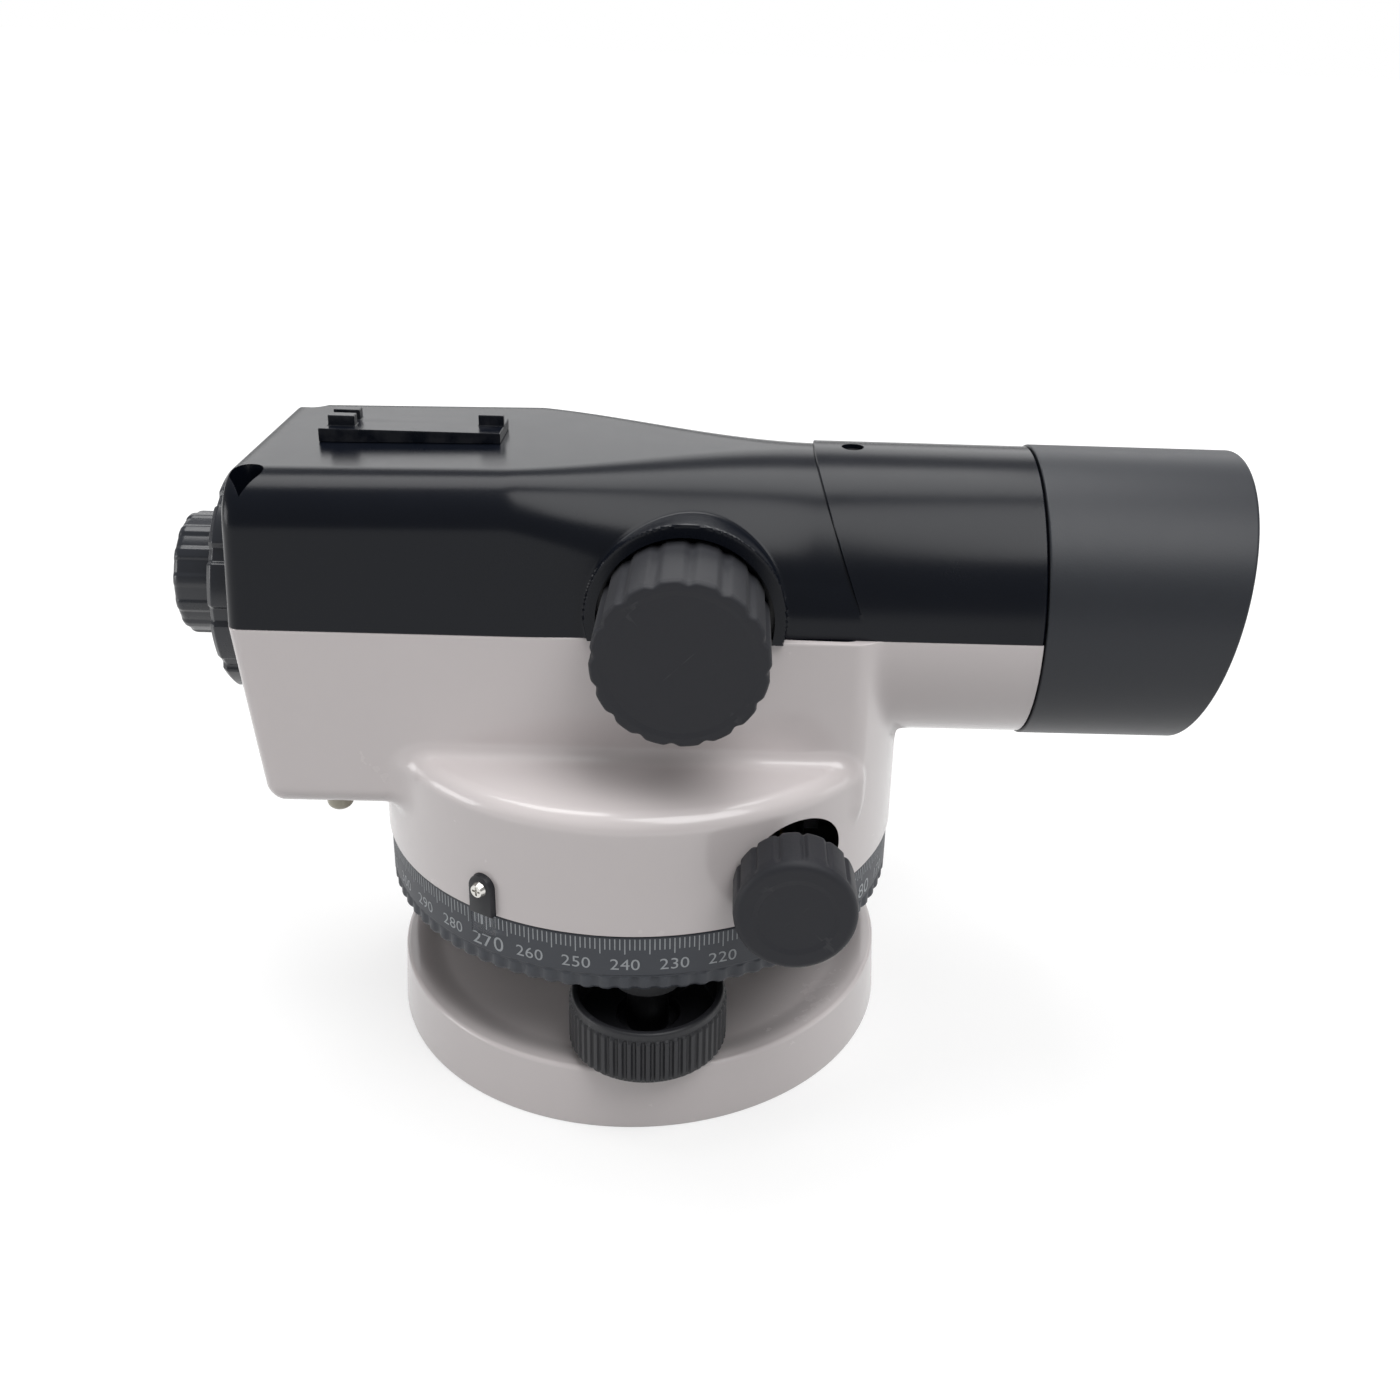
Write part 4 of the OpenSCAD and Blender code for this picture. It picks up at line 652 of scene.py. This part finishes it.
def housing_shell(nu=600, nv=140):
    """Rays leave points on the vertical axis; each runs to the surface of the housing's distance field, from
    the skirt's lower edge to the parting line. Along each meridian they are spread evenly over the
    surface's length, and closer where it bends."""
    a = np.linspace(0, 2 * np.pi, nu, endpoint=False)
    side = ease((np.abs(np.degrees(np.arcsin(np.sin(a)))) - 30.0) / 14.0)
    zc = 80.0 - 25.0 * side
    flat = np.stack([np.cos(a), np.sin(a), 0 * a], -1)
    # reach of the casting at the parting line, straight out from the axis, no further than the tube's end
    reach = first_hit(np.stack([0 * a, 0 * a, 0 * a + AXIS_Z], -1), flat)
    front = np.cos(a) > 0
    reach = np.minimum(reach, (TUBE_END + 1.0) / np.maximum(np.cos(a), 1e-6) * front + 1e3 * ~front)
    lo = np.arctan2(SKIRT_Z - zc, TURRET_R)
    hi = np.arctan2(AXIS_Z - zc, reach)
    t = np.linspace(0, 1, 420)[None]
    phi = lo[:, None] + (hi - lo)[:, None] * t
    p = cast(a, zc, phi)
    step = np.linalg.norm(np.diff(p, axis=1), axis=-1)
    bend = np.linalg.norm(np.diff(unit(np.diff(p, axis=1)), axis=1), axis=-1)
    bend = np.concatenate([bend[:, :1], bend], 1)
    weight = smooth_round(np.minimum(step, 3.0) + 2.4 * np.minimum(bend, 0.6))
    s = np.concatenate([np.zeros((nu, 1)), np.cumsum(weight, 1)], 1)
    s /= s[:, -1:]
    want = np.linspace(0, 1, nv)
    phi2 = np.stack([np.interp(want, s[i], phi[i]) for i in range(nu)])
    p = cast(a, zc, phi2)
    far = p[..., :1] > TUBE_END + 3.0
    pulled = p * ((TUBE_END + 3.0) / np.maximum(p[..., :1], 1e-6)) * [1, 1, 0] + p * [0, 0, 1]
    return np.where(far, pulled, p), flat


def index_outline(grow=0.0):
    """Upright flat outline of the index: straight sides under a half round, as (across, height) points."""
    t = np.radians(np.linspace(0, 180, 25))
    top = SKIRT_Z + 8.4 - INDEX_HALF
    r = INDEX_HALF + grow
    arch = np.column_stack([r * np.cos(t), top + r * np.sin(t)])
    return np.concatenate([[[r, SKIRT_Z - 2.0]], arch, [[-r, SKIRT_Z - 2.0]]])


def round_the_turret(v):
    """Points given as (across, height, outward) set against the turret at the index's angle."""
    c, s = math.cos(math.radians(INDEX_TURN)), math.sin(math.radians(INDEX_TURN))
    x, y = v[:, 0], -v[:, 2]
    return np.column_stack([x * c - y * s, x * s + y * c, v[:, 1]])


def build_housing():
    """The casting, closed through its skirt, its roof and its parting face, less the bores and the index's
    slot; then the middle of the parting face is taken out, and the inside of the skirt and the bores become
    a near-black lining: painted shade for the dark inside the casting."""
    p, flat = housing_shell()
    nu, nv = p.shape[:2]
    low = np.array([(0, ROOF_Z), (47.9, ROOF_Z), (49.0, 65.05), (SKIRT_IN, 64.0), (SKIRT_IN, 44.85),
                    (49.65, SKIRT_Z), (52.15, SKIRT_Z), (TURRET_R, 44.8)])
    inner = np.stack([flat * [r, r, 0] + [0, 0, z] for r, z in low], 1)
    edge = p[:, -1]
    run = np.linalg.norm(edge[:, :2], axis=1)
    cap = []
    for inset in (0.2, 2.4):
        k = ((run - inset) / run)[:, None]
        cap.append(np.column_stack([edge[:, :2] * k, 0 * run + AXIS_Z]))
    cap.append(np.column_stack([edge[:, :2] * 0, 0 * run + AXIS_Z]))
    p[:, -1, 2] = AXIS_Z - 0.2
    grid = np.concatenate([inner, p[:, 2:], np.stack(cap, 1)], 1)
    v, f = grid.reshape(-1, 3), quads(nu, grid.shape[1], close_u=True)
    body = solid(v, f)
    slot = index_outline(0.05)
    n = len(slot)
    c = np.tile(slot.mean(0), (n, 1))
    rows = ((c, 51.1), (slot, 51.1), (slot, 56.0), (c, 56.0))
    sheet = np.concatenate([np.column_stack([q, np.full(n, d)]) for q, d in rows])
    end = np.array([[TUBE_END, y, z] for y, z in ((-60, 20), (60, 20), (60, 130), (-60, 130))], float)
    block = np.concatenate([end, end + [60, 0, 0]])
    sides = [[0, 1, 2, 3], [7, 6, 5, 4], [0, 4, 5, 1], [1, 5, 6, 2], [2, 6, 7, 3], [3, 7, 4, 0]]
    bores = [rod((WORM_X, 0, BORE_Z), axis, BORE_R, 24, 60) for axis in ("-y", "y")]
    made = carve(body, bores + [rod((*BUTTON, 0), "z", 2.85, 50, 66),
                                (round_the_turret(sheet), quads(4, n, close_v=True)),
                                rod((0, 0, EYE_Z), "-x", SEAT_R, 60, 90), (block, sides)])
    casting, shade_lining = split_lining(made)
    place("casting", casting, "alidade", PAINT, ["housing"], sharp=40)
    # The inside of the skirt and the bores in near-black: painted shade.
    place("skirt_painted_shade", shade_lining, "alidade", PAINTED_SHADE_BLACK, ["housing"], sharp=40)


def split_lining(mesh):
    """Takes the middle of the parting face away, and parts the roof and wall inside the skirt and the
    worm's bores from the casting: these become the painted-shade lining."""
    import bmesh
    work = bmesh.new()
    work.from_mesh(mesh)
    top = [q for q in work.faces if q.normal.z > 0.9 and q.calc_center_median().z > (AXIS_Z - 0.01) * MM
           and any(w.co.xy.length < 1e-6 for w in q.verts)]
    bmesh.ops.delete(work, geom=top, context="FACES")
    inside = [q for q in work.faces if all(w.co.xy.length < (SKIRT_IN + 0.05) * MM for w in q.verts)
              and q.calc_center_median().z < (ROOF_Z + 0.1) * MM and all(w.co.z > 44.8 * MM for w in q.verts)]
    seen = set(inside)
    for q in work.faces:
        at = q.calc_center_median()
        away = math.hypot(at.x - WORM_X * MM, at.z - BORE_Z * MM)
        if q not in seen and away < (BORE_R + 0.3) * MM and abs(q.normal.y) < 0.5 and abs(at.y) < 46 * MM:
            inside.append(q)
    other = work.copy()
    other.faces.ensure_lookup_table()
    keep = {q.index for q in inside}
    work.faces.ensure_lookup_table()
    bmesh.ops.delete(work, geom=inside, context="FACES")
    bmesh.ops.delete(other, geom=[q for q in other.faces if q.index not in keep], context="FACES")
    casting, shade_lining = bpy.data.meshes.new("casting"), bpy.data.meshes.new("shade_lining")
    work.to_mesh(casting)
    other.to_mesh(shade_lining)
    work.free()
    other.free()
    return casting, shade_lining


def mirror_ears():
    """Two lugs that carry the mirror's hinge: a flat outline with a round end, made thick along x."""
    t = np.radians(np.linspace(-90, 90, 17))
    arch = np.column_stack([34 + 2.6 * np.cos(t), 84.5 + 2.6 * np.sin(t)])
    flat = np.concatenate([[[29.0, 79.9]], arch, [[29.0, 89.6]]])
    n = len(flat)
    c = np.tile(flat.mean(0), (n, 1))
    parts = []
    for x0, x1 in ((-11.8, -9.8), (5.8, 7.8)):
        rings = [(x0, c, 0.0), (x0, flat, 0.25), (x0 + 0.25, flat, 0.0), (x1 - 0.25, flat, 0.0),
                 (x1, flat, 0.25), (x1, c, 0.0)]
        g = []
        for x, q, inset in rings:
            away = unit(q - c + 1e-9) * inset
            g.append(np.column_stack([np.full(n, x), q - away]))
        parts.append((np.concatenate(g), quads(6, n, close_v=True)))
    v, f = join(parts)
    return place("mirror_lugs", solid(v, f), "alidade", PAINT, ["housing"], sharp=35)


build_housing()
mirror_ears()


# Top cover

def loft_mix(u):
    """How far the corner's radius has run towards the tube's: the mean of 3u^2 - 2u^3 and a quarter sine."""
    return (ease(u) + np.sin(np.pi / 2 * np.clip(u, 0, 1))) / 2


def cover_reach(x, al, side=0.0, top=0.0):
    """Distance from the telescope's axis to the cover at place x and angle al: the ray meets a rectangle
    with rounded corners, whose width, height and corner radius run into the tube's circle between
    x = -22 and 33."""
    u = np.clip((x + 22.0) / 55.0, 0, 1)
    end = TUBE_R - 0.6 * ease((np.sin(al) * TUBE_R - 3.0) / 8.0)
    w = BOX_W + (end - BOX_W) * ease(u) - side
    h = np.where(x < -22, 27.7 + 0.9 * (x - REAR_X) / (-22 - REAR_X), 28.6 + (end - 28.6) * u) - top
    r = 10.0 + (end - 10.0) * loft_mix(u) - side
    r = np.minimum(r, np.minimum(w, h) - 0.02)
    c, s = np.abs(np.cos(al)), np.sin(al)
    t = np.minimum(w / np.maximum(c, 1e-9), h / np.maximum(s, 1e-9))
    cx, cz = w - r, h - r
    b = c * cx + s * cz
    disc = np.maximum(b * b - (cx * cx + cz * cz - r * r), 0)
    corner = (t * c > cx) & (t * s > cz)
    return np.where(corner, np.minimum(t, b + np.sqrt(disc)), t)


def with_boss(x, al, reach):
    """The reach, raised to the boss round the focusing knob: the ray is walked to a smooth union of the
    cover and an upright disc, a little narrower behind its face."""
    near = (x > -14) & (x < 34) & (al < np.pi / 2)
    t = reach - 0.5
    c, s = np.cos(al), np.sin(al)
    for _ in range(60):
        y, z = -t * c, t * s
        radial = np.hypot(x - BOSS_AT[0], z + AXIS_Z - BOSS_AT[1])
        disc = rounded_max([radial - BOSS_R + 0.13 * (y - BOSS_Y), BOSS_Y - y], 0.3)
        t = t - 0.8 * soft_min((t - reach) * 0.8, disc, 0.7)
    return np.where(near, np.maximum(t, reach), reach)


def cover_shell():
    """Closed rings round the telescope's axis from the rear edge to the seam, each an arch of rays and a flat
    parting face. The ring at the step follows the slanted plane x = 32.8 + 0.36 (top - z)."""
    al = np.concatenate([np.linspace(0, np.radians(62), 121), np.linspace(np.radians(62), np.pi, 121)[1:]])
    na = len(al)
    rows = []
    xs = 32.8 + 0.36 * TUBE_R * (1 - np.sin(al))
    for t in np.linspace(0, 90, 8):
        bite = 1 - math.sin(math.radians(t))
        x = np.full(na, REAR_X + 3.0 * (1 - math.cos(math.radians(t))))
        reach = cover_reach(x, al, 3.0 * bite, 0.8 * bite)
        if t == 0:
            rows += [(x + 0.05 * reach * k * np.sin(al), reach * k) for k in (0.0, 0.5, 0.93)]
        rows.append((x + 0.05 * reach * np.sin(al), reach))
    x0 = rows[-1][0]
    spans = ((0, 0.54, 50), (0.54, 0.945, 150), (0.945, 1.0, 12))
    for u in np.concatenate([np.linspace(*span)[1:] for span in spans]):
        x = x0 + (xs - x0) * u
        rows.append((x, with_boss(x, al, cover_reach(x, al))))
    for d, r in ((0.0, -0.14), (0.14, 0.0), (0.5, 0.0)):
        rows.append((xs + d, np.maximum(np.full(na, TUBE_R) + r, cover_reach(xs, al))))
    for u in np.linspace(0, 1, 26)[1:]:
        rows.append((xs + 0.5 + (TUBE_END - 0.25 - xs - 0.5) * u, np.full(na, TUBE_R)))
    rows += [(np.full(na, TUBE_END), np.full(na, r)) for r in (TUBE_R - 0.25, TUBE_R - 2.4, 0.0)]
    x = np.stack([q[0] for q in rows])
    r = np.stack([q[1] for q in rows])
    arch = np.stack([x, -r * np.cos(al), AXIS_Z + r * np.sin(al)], -1)
    inner = np.maximum(r[:, 0] - 2.4, 0.55 * r[:, 0])
    foot = np.stack([np.stack([x[:, 0], y, 0 * y + AXIS_Z], -1) for y in (inner, 0 * inner, -inner)], 1)
    return np.concatenate([arch, foot], 1)


def drop_outline(side):
    """Flat outline of a screw's well: a circle drawn out to a point towards the side."""
    lead = math.acos(WELL_R / WELL_TIP)
    t = np.linspace(lead, 2 * np.pi - lead, 48)
    ring = np.column_stack([WELL_R * np.sin(t), WELL_R * np.cos(t)])
    drop = np.concatenate([[[0.0, WELL_TIP]], ring])
    return np.column_stack([WELL_AT[0] + drop[:, 0], side * (WELL_AT[1] + drop[:, 1])])


def build_cover():
    """The cover less its wells, the lock screw's hole, the knob's recess and the eyepiece's seat; the middle
    of the parting face is left open."""
    import bmesh
    grid = cover_shell()
    body = solid(grid.reshape(-1, 3), quads(grid.shape[0], grid.shape[1], close_v=True))
    made = carve(body, [prism(drop_outline(-1), 112.0, 128.0), prism(drop_outline(1), 112.0, 128.0),
                        rod((40.4, 0, 0), "z", 2.15, 119.2, 127), rod(RECESS_AT, "-y", 16.15, 28.3, 40, 160),
                        rod((0, 0, EYE_Z), "-x", SEAT_R, 60, 90)])
    work = bmesh.new()
    work.from_mesh(made)
    low = [q for q in work.faces if q.normal.z < -0.9 and q.calc_center_median().z < (AXIS_Z + 0.01) * MM
           and any(abs(w.co.y) < 1e-6 for w in q.verts) and q.calc_center_median().x > -70 * MM]
    bmesh.ops.delete(work, geom=low, context="FACES")
    work.to_mesh(made)
    work.free()
    return place("cover_shell", made, "alidade", COVER, ["top_cover"], sharp=32)


build_cover()


# Sunshade, sight, eyepiece and knobs

def build_sunshade():
    """A turned tube whose far end is cut by a slanted plane: the last rings slide along the axis by
    (z - axis) times the tangent of the slant."""
    k = math.tan(math.radians(10.5))
    mouth = TUBE_END + 0.3 + 35.4
    back, step = TUBE_END + 0.3, TUBE_END + 9.3
    p = outline([(25.9, back, 0), (28.9, back, 0.35), (28.9, mouth, 0.5), (26.8, mouth, 0.4),
                 (26.8, step, 0.3), (25.9, step, 0)], 5)
    p = np.concatenate([p, p[:1]])
    v, f = turned(p, "x", (0, 0, AXIS_Z), n=200)
    far = np.clip((v[:, 0] - (TUBE_END + 14)) / (mouth - TUBE_END - 14), 0, None)
    v[:, 0] += far * k * (v[:, 2] - AXIS_Z)
    return make_piece("sunshade_tube", v, f, "alidade", SHADE, ["sunshade"], sharp=50)


def grip(name, node, axis, origin, r, l, n, depth, edge, land, fade, body, first=0.0):
    """A fluted knob: a turned cup with a rounded front edge and a nearly flat face. Between broad lands run
    narrow hollows, half a sine deep, which end at the heights given by fade."""
    p = outline([(4.05, 0, 0), (r - 0.4, 0, 0.5), (r, 1.0, 0.3), (r, l - edge - 0.4, 0), (r, l - edge, 0),
                 (r - 0.25, l, edge), (r - edge - 0.8, l, 0.1), (r - edge - 1.8, l - 0.2, 0.4),
                 (0, l - 0.2, 0)], 8)
    inner = np.linspace(r - edge - 3.4, 0.6, 6)
    p = np.concatenate([p[:-1], np.column_stack([inner, np.full(6, l - 0.2)]), p[-1:]])
    h = np.linspace(1.4, l - edge - 0.5, 8)
    k = int(np.argmin(np.abs(p[:, 1] - 1.2) + 10 * (np.abs(p[:, 0] - r) > 0.05)))
    p = np.concatenate([p[:k + 1], np.column_stack([np.full(8, r), h]), p[k + 1:]])
    p = p[np.concatenate([[True], np.linalg.norm(np.diff(p, axis=0), axis=1) > 1e-4])]

    def hollow(a, rr, hh):
        u = (np.degrees(a) - first) * n / 360.0 % 1.0
        u = np.abs(u - 0.5) * 2
        w = ease(1 - u / (1 - land))
        run = ease((fade[1] - hh) / max(fade[1] - fade[0], 1e-6))
        return rr - depth * w * run * ease((rr - (r - edge - 1.0)) / (edge + 0.4))
    v, f = turned(p, axis, origin, n=n * 24, hollow=hollow)
    return make_piece(name, v, f, body, RUBBER, [node], sharp=60)


def eyepiece_ring():
    """The eyepiece's cover: a turned ring, a little smaller at its back, with twelve shallow notches in
    its rim."""
    x0 = REAR_X - 5.65
    p = outline([(10.65, 0, 0), (21.8, 0, 0.2), (22.6, 0.9, 0.6), (22.6, 5.3, 0.25), (21.0, 5.3, 0.3),
                 (20.6, 1.6, 0.5), (15.0, 1.6, 0.4), (14.9, 5.3, 0.2), (12.6, 5.3, 0.2), (12.6, 1.6, 0.2),
                 (10.65, 1.6, 0)], 5)
    p = np.concatenate([p, p[:1]])

    def notch(a, r, h):
        u = (np.degrees(a) % 30.0)
        u = np.minimum(u, 30.0 - u) * math.radians(1) * 22.6
        return r - 0.85 * ease((2.1 - u) / 0.9) * ease((r - 21.2) / 0.6)
    v, f = turned(p, "x", (x0, 0, EYE_Z), n=12 * 48, hollow=notch)
    make_piece("eyepiece_ring", v, f, "alidade", PLASTIC, ["eyepiece_cover"], sharp=50)


def dioptre_grip():
    """The dioptre ring: a turned cup with fourteen shallow flat hollows and a rounded end round the eye
    opening."""
    x0 = REAR_X - 5.9
    p = outline([(10.62, 0, 0), (11.9, 0, 0.2), (12.1, 0.3, 0.2), (12.1, 10.0, 1.9), (8.8, 10.0, 0.5),
                 (8.0, 9.6, 0.3), (8.0, 9.25, 0.1), (10.62, 9.2, 0), (10.62, 0, 0)], 6)

    def flat(a, r, h):
        u = np.degrees(a) * 14 / 360.0 % 1.0
        u = np.abs(u - 0.5) * 2
        return r - 0.34 * ease((0.78 - u) / 0.40) * ease((r - 9.6) / 1.6)
    v, f = turned(p, "-x", (x0, 0, EYE_Z), n=14 * 36, hollow=flat)
    make_piece("dioptre_grip", v, f, "dioptre", PLASTIC, ["dioptre_ring"], sharp=50)


def check_dome():
    """The check button: a turned pin with a flange inside and a shallow dome that shows under the box."""
    t = np.radians(np.linspace(0, 90, 13))
    dome = np.column_stack([2.5 * np.sin(t), 53.4 + 1.9 * (1 - np.cos(t))])
    pin = outline([(2.5, 55.3, 0), (2.5, 60.25, 0), (3.8, 60.25, 0.1), (3.8, 61.45, 0.1), (0, 61.45, 0)], 3)
    v, f = turned(np.concatenate([dome, pin]), "z", (*BUTTON, 0), n=64)
    place("check_dome", solid(v, f), "check_button", IVORY, ["check_button"], sharp=50)


COPIED = {0.0: ("objective_lens", "eye_lens", "circle_spring", "foot_bushes", "rear_foot_balls",
                "front_foot_ball", "worm_wheel"),
          0.08: ("spring_plate", "spring_plate_screws", "cover_screws", "lock_screw", "inner_screws",
                 "worm_bushes", "worm_shaft", "front_foot_screw", "left_foot_screw", "right_foot_screw",
                 "focus_bush", "focus_shaft", "mirror_glass"),
          0.15: ("levelling_head", "objective_barrel", "eyepiece_tube", "ocular_barrel", "level_cup",
                 "level_vial", "mirror_frame")}


def carry_over():
    """Smooth copies of the nodes that are kept as they are, each on its own body and in its own finish, but
    the foot screws in dark steel.
    """
    rides = {n: body for body, held in frame["record"]["behaviour"]["bodies"].items() for n in held}
    finish = {e["node"]: e["material_slot"] for e in frame["record"]["subparts"]}
    for width, names in COPIED.items():
        for node in names:
            material = SHAFT if node.endswith("foot_screw") else BY_SLOT[finish[node]]
            eased_copy("smooth_" + node, node, rides[node], material, width)


def button_coil():
    """The check button's spring: a wire of radius 0.3 wound five times at radius 2.6. Its foot rises with the
    button, and a bridge holds its upper end."""
    low, high, turns = 61.815, 69.685, 5
    k = np.linspace(0, 1, turns * 36 + 1)[:, None]
    s = np.linspace(0, 2 * np.pi, 10, endpoint=False)[None]
    a = 2 * np.pi * turns * k
    r = 2.6 + 0.3 * np.cos(s)
    z = low + (high - low) * k + 0.3 * np.sin(s)
    wire = np.stack([BUTTON[0] + r * np.cos(a), BUTTON[1] + r * np.sin(a), z], -1)
    ends = [np.repeat(q.mean(0)[None], 10, 0)[None] for q in (wire[0], wire[-1])]
    grid = np.concatenate([ends[0], wire, ends[1]])
    mesh = solid(grid.reshape(-1, 3), quads(len(grid), 10, close_v=True))
    coil = place("button_coil", mesh, "alidade", SPRING, ["button_spring"])
    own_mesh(coil)


carry_over()
button_coil()
build_sunshade()
grip("focus_grip", "focus_knob", "-y", (9.3, -29.1, AXIS_Z + 3.9), 15.5, 20.9, 16, 0.55, 1.0, 0.46, (40, 41),
     "focus_drive", first=6.45)
for side, name, node, axis in ((-1, "near_fine_grip", "near_tangent_knob", "-y"),
                               (1, "far_fine_grip", "far_tangent_knob", "y")):
    grip(name, node, axis, (WORM_X, side * 49.0, WORM_Z), 11.1, 11.0, 15, 0.5, 2.6, 0.62, (8.0, 9.8), "worm")
eyepiece_ring()
dioptre_grip()
check_dome()
for name, node, material, slot, width in (
        ("sight_rib", "gun_sight", COVER, "black_paint", 0.22),
        ("index_fixing", "index_screw", BRIGHT, "bright_screw", 0.06)):
    eased_copy(name, node, "alidade", material, width)


def index_parts():
    """The index: an upright plate with a round top, its front edge eased over 0.3, and below it a clear
    tongue; both are flat outlines given rings of depth."""
    t = np.radians(np.linspace(0, 180, 33))
    arch = np.column_stack([2.55 * np.cos(t), 50.4 + 2.55 * np.sin(t)])
    flat = np.concatenate([[[2.55, 44.75]], arch, [[-2.55, 44.75]]])
    c = np.tile([0.0, 48.5], (len(flat), 1))
    inward = unit(c - flat)
    plate = [(c, 51.2), (flat, 51.2), (flat, 53.3), (flat + inward * 0.09, 53.51),
             (flat + inward * 0.3, 53.6), (c, 53.6)]
    w = np.array([[-2.5, 40.3], [2.5, 40.3], [2.5, 44.7], [-2.5, 44.7]])
    m = np.tile(w.mean(0), (4, 1))
    tongue = [(m, 52.45), (w, 52.45), (w, 53.25), (w * [0.97, 1], 53.38), (m, 53.38)]
    for name, rows, material, node, slot in (("index_plate", plate, PLATE, "index_holder", "black_paint"),
                                             ("index_glass", tongue, WINDOW, "index_window", "window")):
        n = len(rows[0][0])
        v = np.concatenate([np.column_stack([q, np.full(n, d)]) for q, d in rows])
        mesh = solid(round_the_turret(v), quads(len(rows), n, close_v=True))
        place(name, mesh, "alidade", material, [node])


index_parts()


def index_mark():
    """A fine upright line at the foot of the index, on the window's outer face."""
    v = np.array([[-0.11, 42.6, 53.42], [0.11, 42.6, 53.42], [0.11, 44.7, 53.42], [-0.11, 44.7, 53.42]])
    make_piece("index_mark", round_the_turret(v), [[0, 1, 2, 3]], "alidade", PRINT, (), weld=False)


index_mark()


# Stage, light and camera

def stage():
    """A pale floor that shows white to the camera and in reflections, and keeps a soft shadow round the
    level: its own glow rises from 0.66 at the level to 1 at 1.2 metres, as the lamps' light falls off."""
    m = bpy.data.materials.new("pale_floor")
    t, s = tree(m)
    s.inputs["Base Color"].default_value = (0.36, 0.36, 0.36, 1)
    s.inputs["Roughness"].default_value = 0.9
    s.inputs["Specular IOR Level"].default_value = 0.0
    path = t.nodes.new("ShaderNodeLightPath")

    def combine(op, a, b):
        x = t.nodes.new("ShaderNodeMath")
        x.operation = op
        for k, q in enumerate((a, b)):
            t.links.new(q, x.inputs[k])
        return x.outputs[0]
    seen = combine("MAXIMUM", path.outputs["Is Camera Ray"], path.outputs["Is Glossy Ray"])
    seen = combine("MAXIMUM", seen, path.outputs["Is Transmission Ray"])
    place_at = t.nodes.new("ShaderNodeTexCoord")
    length = t.nodes.new("ShaderNodeVectorMath")
    length.operation = "LENGTH"
    t.links.new(place_at.outputs["Object"], length.inputs[0])
    rise = t.nodes.new("ShaderNodeMapRange")
    rise.interpolation_type = "SMOOTHSTEP"
    for key, value in (("From Min", 0.0), ("From Max", 1.2), ("To Min", 0.66), ("To Max", 1.0)):
        rise.inputs[key].default_value = value
    t.links.new(length.outputs["Value"], rise.inputs["Value"])
    s.inputs["Emission Color"].default_value = (1, 1, 1, 1)
    t.links.new(combine("MULTIPLY", seen, rise.outputs["Result"]), s.inputs["Emission Strength"])
    mesh = bpy.data.meshes.new("floor")
    w = 6.0
    mesh.from_pydata([(-w, -w, 0), (w, -w, 0), (w, w, 0), (-w, w, 0)], [], [(0, 1, 2, 3)])
    mesh.materials.append(m)
    floor = bpy.data.objects.new("floor", mesh)
    bpy.context.scene.collection.objects.link(floor)


def lamp(name, at, target, size, power):
    """A soft lamp that faces its target, out of the camera's sight."""
    data = bpy.data.lights.new(name, "AREA")
    data.shape = "RECTANGLE"
    data.size, data.size_y = size
    data.energy = power
    ob = bpy.data.objects.new(name, data)
    d = Vector(target) - Vector(at)
    ob.matrix_world = Matrix.Translation(at) @ d.to_track_quat("-Z", "Y").to_matrix().to_4x4()
    ob.visible_camera = False
    bpy.context.scene.collection.objects.link(ob)


def world():
    """An even pale surround, white to the camera."""
    w = bpy.data.worlds.new("surround")
    bpy.context.scene.world = w
    w.use_nodes = True
    t = w.node_tree
    t.nodes.clear()
    out = t.nodes.new("ShaderNodeOutputWorld")
    bg = t.nodes.new("ShaderNodeBackground")
    bg.inputs["Color"].default_value = (1, 1, 1, 1)
    path = t.nodes.new("ShaderNodeLightPath")
    m = t.nodes.new("ShaderNodeMapRange")
    m.inputs["To Min"].default_value = 0.32
    m.inputs["To Max"].default_value = 1.0
    t.links.new(path.outputs["Is Camera Ray"], m.inputs["Value"])
    t.links.new(m.outputs["Result"], bg.inputs["Strength"])
    t.links.new(bg.outputs[0], out.inputs["Surface"])


def camera():
    """The camera fitted to the photograph: place, yaw, pitch and roll, and its shifted optical axis."""
    f, cx, cy = 1459.71, 770.10, 624.07
    yaw, pitch, roll = 0.03195, -0.40238, 0.03838
    fwd = Vector((math.sin(yaw) * math.cos(pitch), math.cos(yaw) * math.cos(pitch), math.sin(pitch)))
    right = Vector((math.cos(yaw), -math.sin(yaw), 0))
    up = right.cross(fwd)
    r2 = right * math.cos(roll) + up * math.sin(roll)
    u2 = up * math.cos(roll) - right * math.sin(roll)
    data = bpy.data.cameras.new("camera")
    data.sensor_width = 36.0
    data.lens = f / 1400 * 36.0
    data.shift_x = (700 - cx) / 1400
    data.shift_y = (cy - 700) / 1400
    data.clip_start = 0.01
    ob = bpy.data.objects.new("camera", data)
    m = Matrix((r2, u2, -fwd)).transposed().to_4x4()
    m.translation = Vector((17.016, -272.746, 200.638)) * MM
    ob.matrix_world = m
    bpy.context.scene.collection.objects.link(ob)
    bpy.context.scene.camera = ob


stage()
world()
lamp("left_box", (-0.08, 0.24, 0.92), (0, 0, 0.10), (0.86, 0.46), 5.6)
lamp("right_box", (0.26, -0.34, 0.88), (0.03, 0, 0.10), (0.50, 0.66), 4.8)
lamp("back_bank", (0.05, 0.95, 0.50), (0, 0, 0.10), (1.9, 0.42), 3.6)
lamp("left_fill", (-0.90, -0.20, 0.22), (0, 0, 0.03), (0.4, 0.30), 1.8)
lamp("right_fill", (0.90, 0.05, 0.22), (0, 0, 0.03), (0.4, 0.30), 0.6)
camera()
scene = bpy.context.scene
scene.view_settings.view_transform = "Standard"
